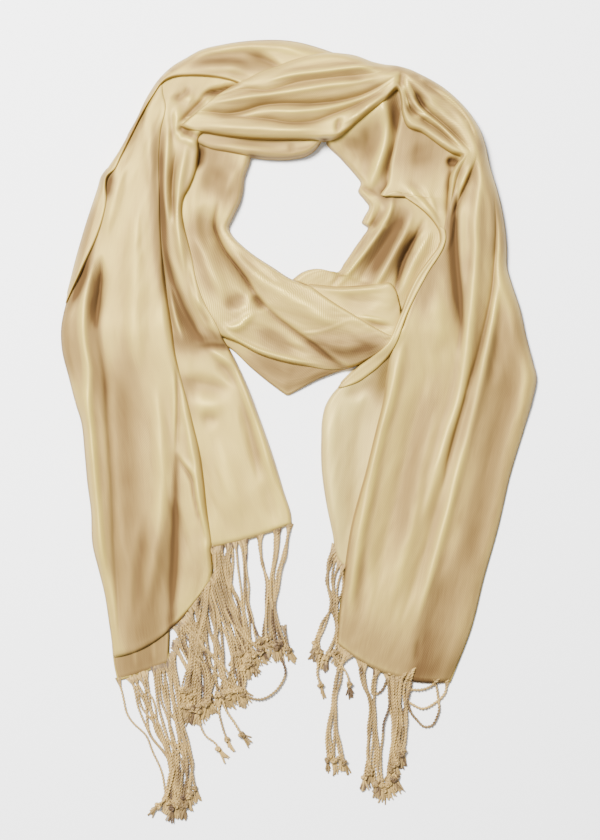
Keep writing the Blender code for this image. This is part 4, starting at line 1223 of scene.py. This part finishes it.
def satin(name, light, painted_half_shade, shade, roughness):
    """Satin twill: a fine diagonal rib over threads that catch the light, its colour painted from lit
    through half-shaded to shaded by the painted shade on the mesh.
    """
    nodes = Nodes(name)
    uv = nodes.add("ShaderNodeUVMap", {"uv_map": "threads"})[0]
    u, v, _ = nodes.add("ShaderNodeSeparateXYZ", (), (uv,))
    rib = ((u + v) * (tau / RIB_PITCH)).sine()
    uneven = nodes.cloud(nodes.place(), DYE_SCALE)
    stretched = nodes.add(
        "ShaderNodeVectorMath", {"operation": "MULTIPLY"}, (uv, THREAD_STREAKS)
    )[0]
    streak = nodes.cloud(stretched, 1.0, 3.0)
    painted_shade = nodes.tone()
    # The painted shade, with the dye's unevenness, the thread streaks and the rib over it.
    tone = 0.26 + painted_shade * 0.66 + (uneven - 0.5) * 0.2 + (streak - 0.5) * 0.24 + rib * 0.06
    relief = nodes.bump(0.35, 0.00025, rib * 0.5 + streak * 0.8)
    lit_to_half_shaded = nodes.blend((tone * 1.7).clamped(), light, painted_half_shade)
    return nodes.finish({
        "Base Color": nodes.blend(((tone - 0.5) * 1.5).clamped(), lit_to_half_shaded, shade),
        "Roughness": (roughness + (streak - 0.5) * 0.1 + painted_shade * 0.28).clamped(),
        "Metallic": 0.2,
        "Specular IOR Level": 0.35,
        "Specular Tint": colour(1.0, 0.82, 0.5),
        "Normal": relief,
    })


def twisted(name, light, shade):
    """Two-ply fringe yarn: matter than the cloth, with its own unevenness."""
    nodes = Nodes(name)
    place = nodes.place()
    uneven = nodes.cloud(place, YARN_SCALE)
    fine = nodes.cloud(place, FIBRE_SCALE, 3.0)
    tone = 0.2 + nodes.tone() + (uneven - 0.5) * 0.9 + (fine - 0.5) * 0.5
    relief = nodes.bump(0.4, 0.0002, fine)
    return nodes.finish({
        "Base Color": nodes.blend(tone.clamped(), light, shade),
        "Roughness": 0.62 + (fine - 0.5) * 0.1,
        "Sheen Weight": 0.05,
        "Normal": relief,
    })


def matt(name, tint, roughness):
    return Nodes(name).finish({"Base Color": tint, "Roughness": roughness})


# Lit, half-shaded and shaded copies of the champagne satin: painted light and shade, mixed by the painted
# shade on the mesh.
SATIN = satin(
    "champagne satin twill",
    colour(0.49, 0.365, 0.08), colour(0.275, 0.18, 0.055), colour(0.09, 0.047, 0.016), 0.5,
)
# The cloth's paler back, in lit, half-shaded and shaded copies too.
SATIN_BACK = satin(
    "satin twill back",
    colour(0.53, 0.42, 0.12), colour(0.33, 0.23, 0.075), colour(0.13, 0.08, 0.02), 0.52,
)
TWIST = twisted("twisted fringe yarn", colour(0.35, 0.225, 0.062), colour(0.062, 0.03, 0.007))

# ---------------------------------------------------------------- building

FLOOR_HALF = 3.0        # the sweep's size for the grid operator, in metres
KEY_PLACE = (-0.65, 0.8, 1.95)
KEY_SIZE = 0.5
KEY_POWER = 225.0
STUDIO_LIGHT = 0.6
SENSOR = 24.0
CAMERA_PLACE = (0.0011, 0.0065, 1.915)
FRAMED = 0.672          # height of plan that fills the frame from this far away, in metres
FRAMED_FROM = 1.9
CAMERA_REACH = 20.0


def lay_cloths():
    """Lays every stretch from the table up; gives them by name, and the table under them."""
    table = Table()
    laid_objects = {}
    for order, (name, cloth) in enumerate(CLOTHS.items()):
        table.settle()
        laid = lay(cloth, table, SEED + 10 * order)
        table.add(laid)
        mesh = cloth_mesh(name, closed_loop(laid, UNDER_LIFT + UNDER_STEP * order))
        thing = add_object("laid_" + name, mesh)
        mesh.materials.append(SATIN_BACK if name in BACK_STRETCHES else SATIN)
        thicken(thing)
        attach(thing, "root")
        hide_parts(*cloth.nodes)
        "satin_twill_back" if name in BACK_STRETCHES else "satin_twill"
        laid_objects[name] = thing
    return laid_objects, table


def hang_fringes(table):
    """Makes each group of the fringe; gives them by the stretch that they hang from."""
    fringes = {}
    for number, (group, plan) in enumerate(FRINGES.items()):
        yarns = fringe_yarns(plan, table, np.random.default_rng(SEED + number))
        mesh = yarn_mesh("fringe_" + group, yarns)
        mesh.materials.clear()
        mesh.materials.append(TWIST)
        fringe = add_object("yarn_" + group, mesh)
        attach(fringe, "root")
        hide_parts(plan.solid)
        fringes.setdefault(plan.hem, []).append(fringe)
    return fringes


def set_stage():
    """A pale sweep under the cloth, soft light from above it, and the camera over it."""
    sweep = bmesh.new()
    bmesh.ops.create_grid(sweep, x_segments=4, y_segments=4, size=FLOOR_HALF)
    mesh = bpy.data.meshes.new("floor")
    sweep.to_mesh(mesh)
    sweep.free()
    mesh.materials.append(matt("white sweep", colour(0.93, 0.93, 0.93), 0.9))
    floor = add_object("floor", mesh)

    key = bpy.data.lights.new("key", "AREA")
    key.size = KEY_SIZE
    key.energy = KEY_POWER
    lamp = add_object("key", key)
    lamp.location = KEY_PLACE
    lamp.rotation_euler = (-Vector(KEY_PLACE)).to_track_quat("-Z", "Y").to_euler()

    world = bpy.data.worlds.new("studio")
    world.use_nodes = True
    background = world.node_tree.nodes["Background"]
    background.inputs["Color"].default_value = colour(1.0, 1.0, 1.0)
    background.inputs["Strength"].default_value = STUDIO_LIGHT
    bpy.context.scene.world = world

    lens = bpy.data.cameras.new("camera")
    lens.sensor_fit = "VERTICAL"
    lens.sensor_height = SENSOR
    lens.lens = SENSOR * FRAMED_FROM / FRAMED
    lens.clip_end = CAMERA_REACH
    camera = add_object("camera", lens)
    camera.location = CAMERA_PLACE
    bpy.context.scene.camera = camera


laid_objects, table = lay_cloths()
fringes = hang_fringes(table)
for name, thing in laid_objects.items():
    cloth = CLOTHS[name]
    [laid_objects[below] for below in cloth.rests_on]
    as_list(fringes.get(name, []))
set_stage()
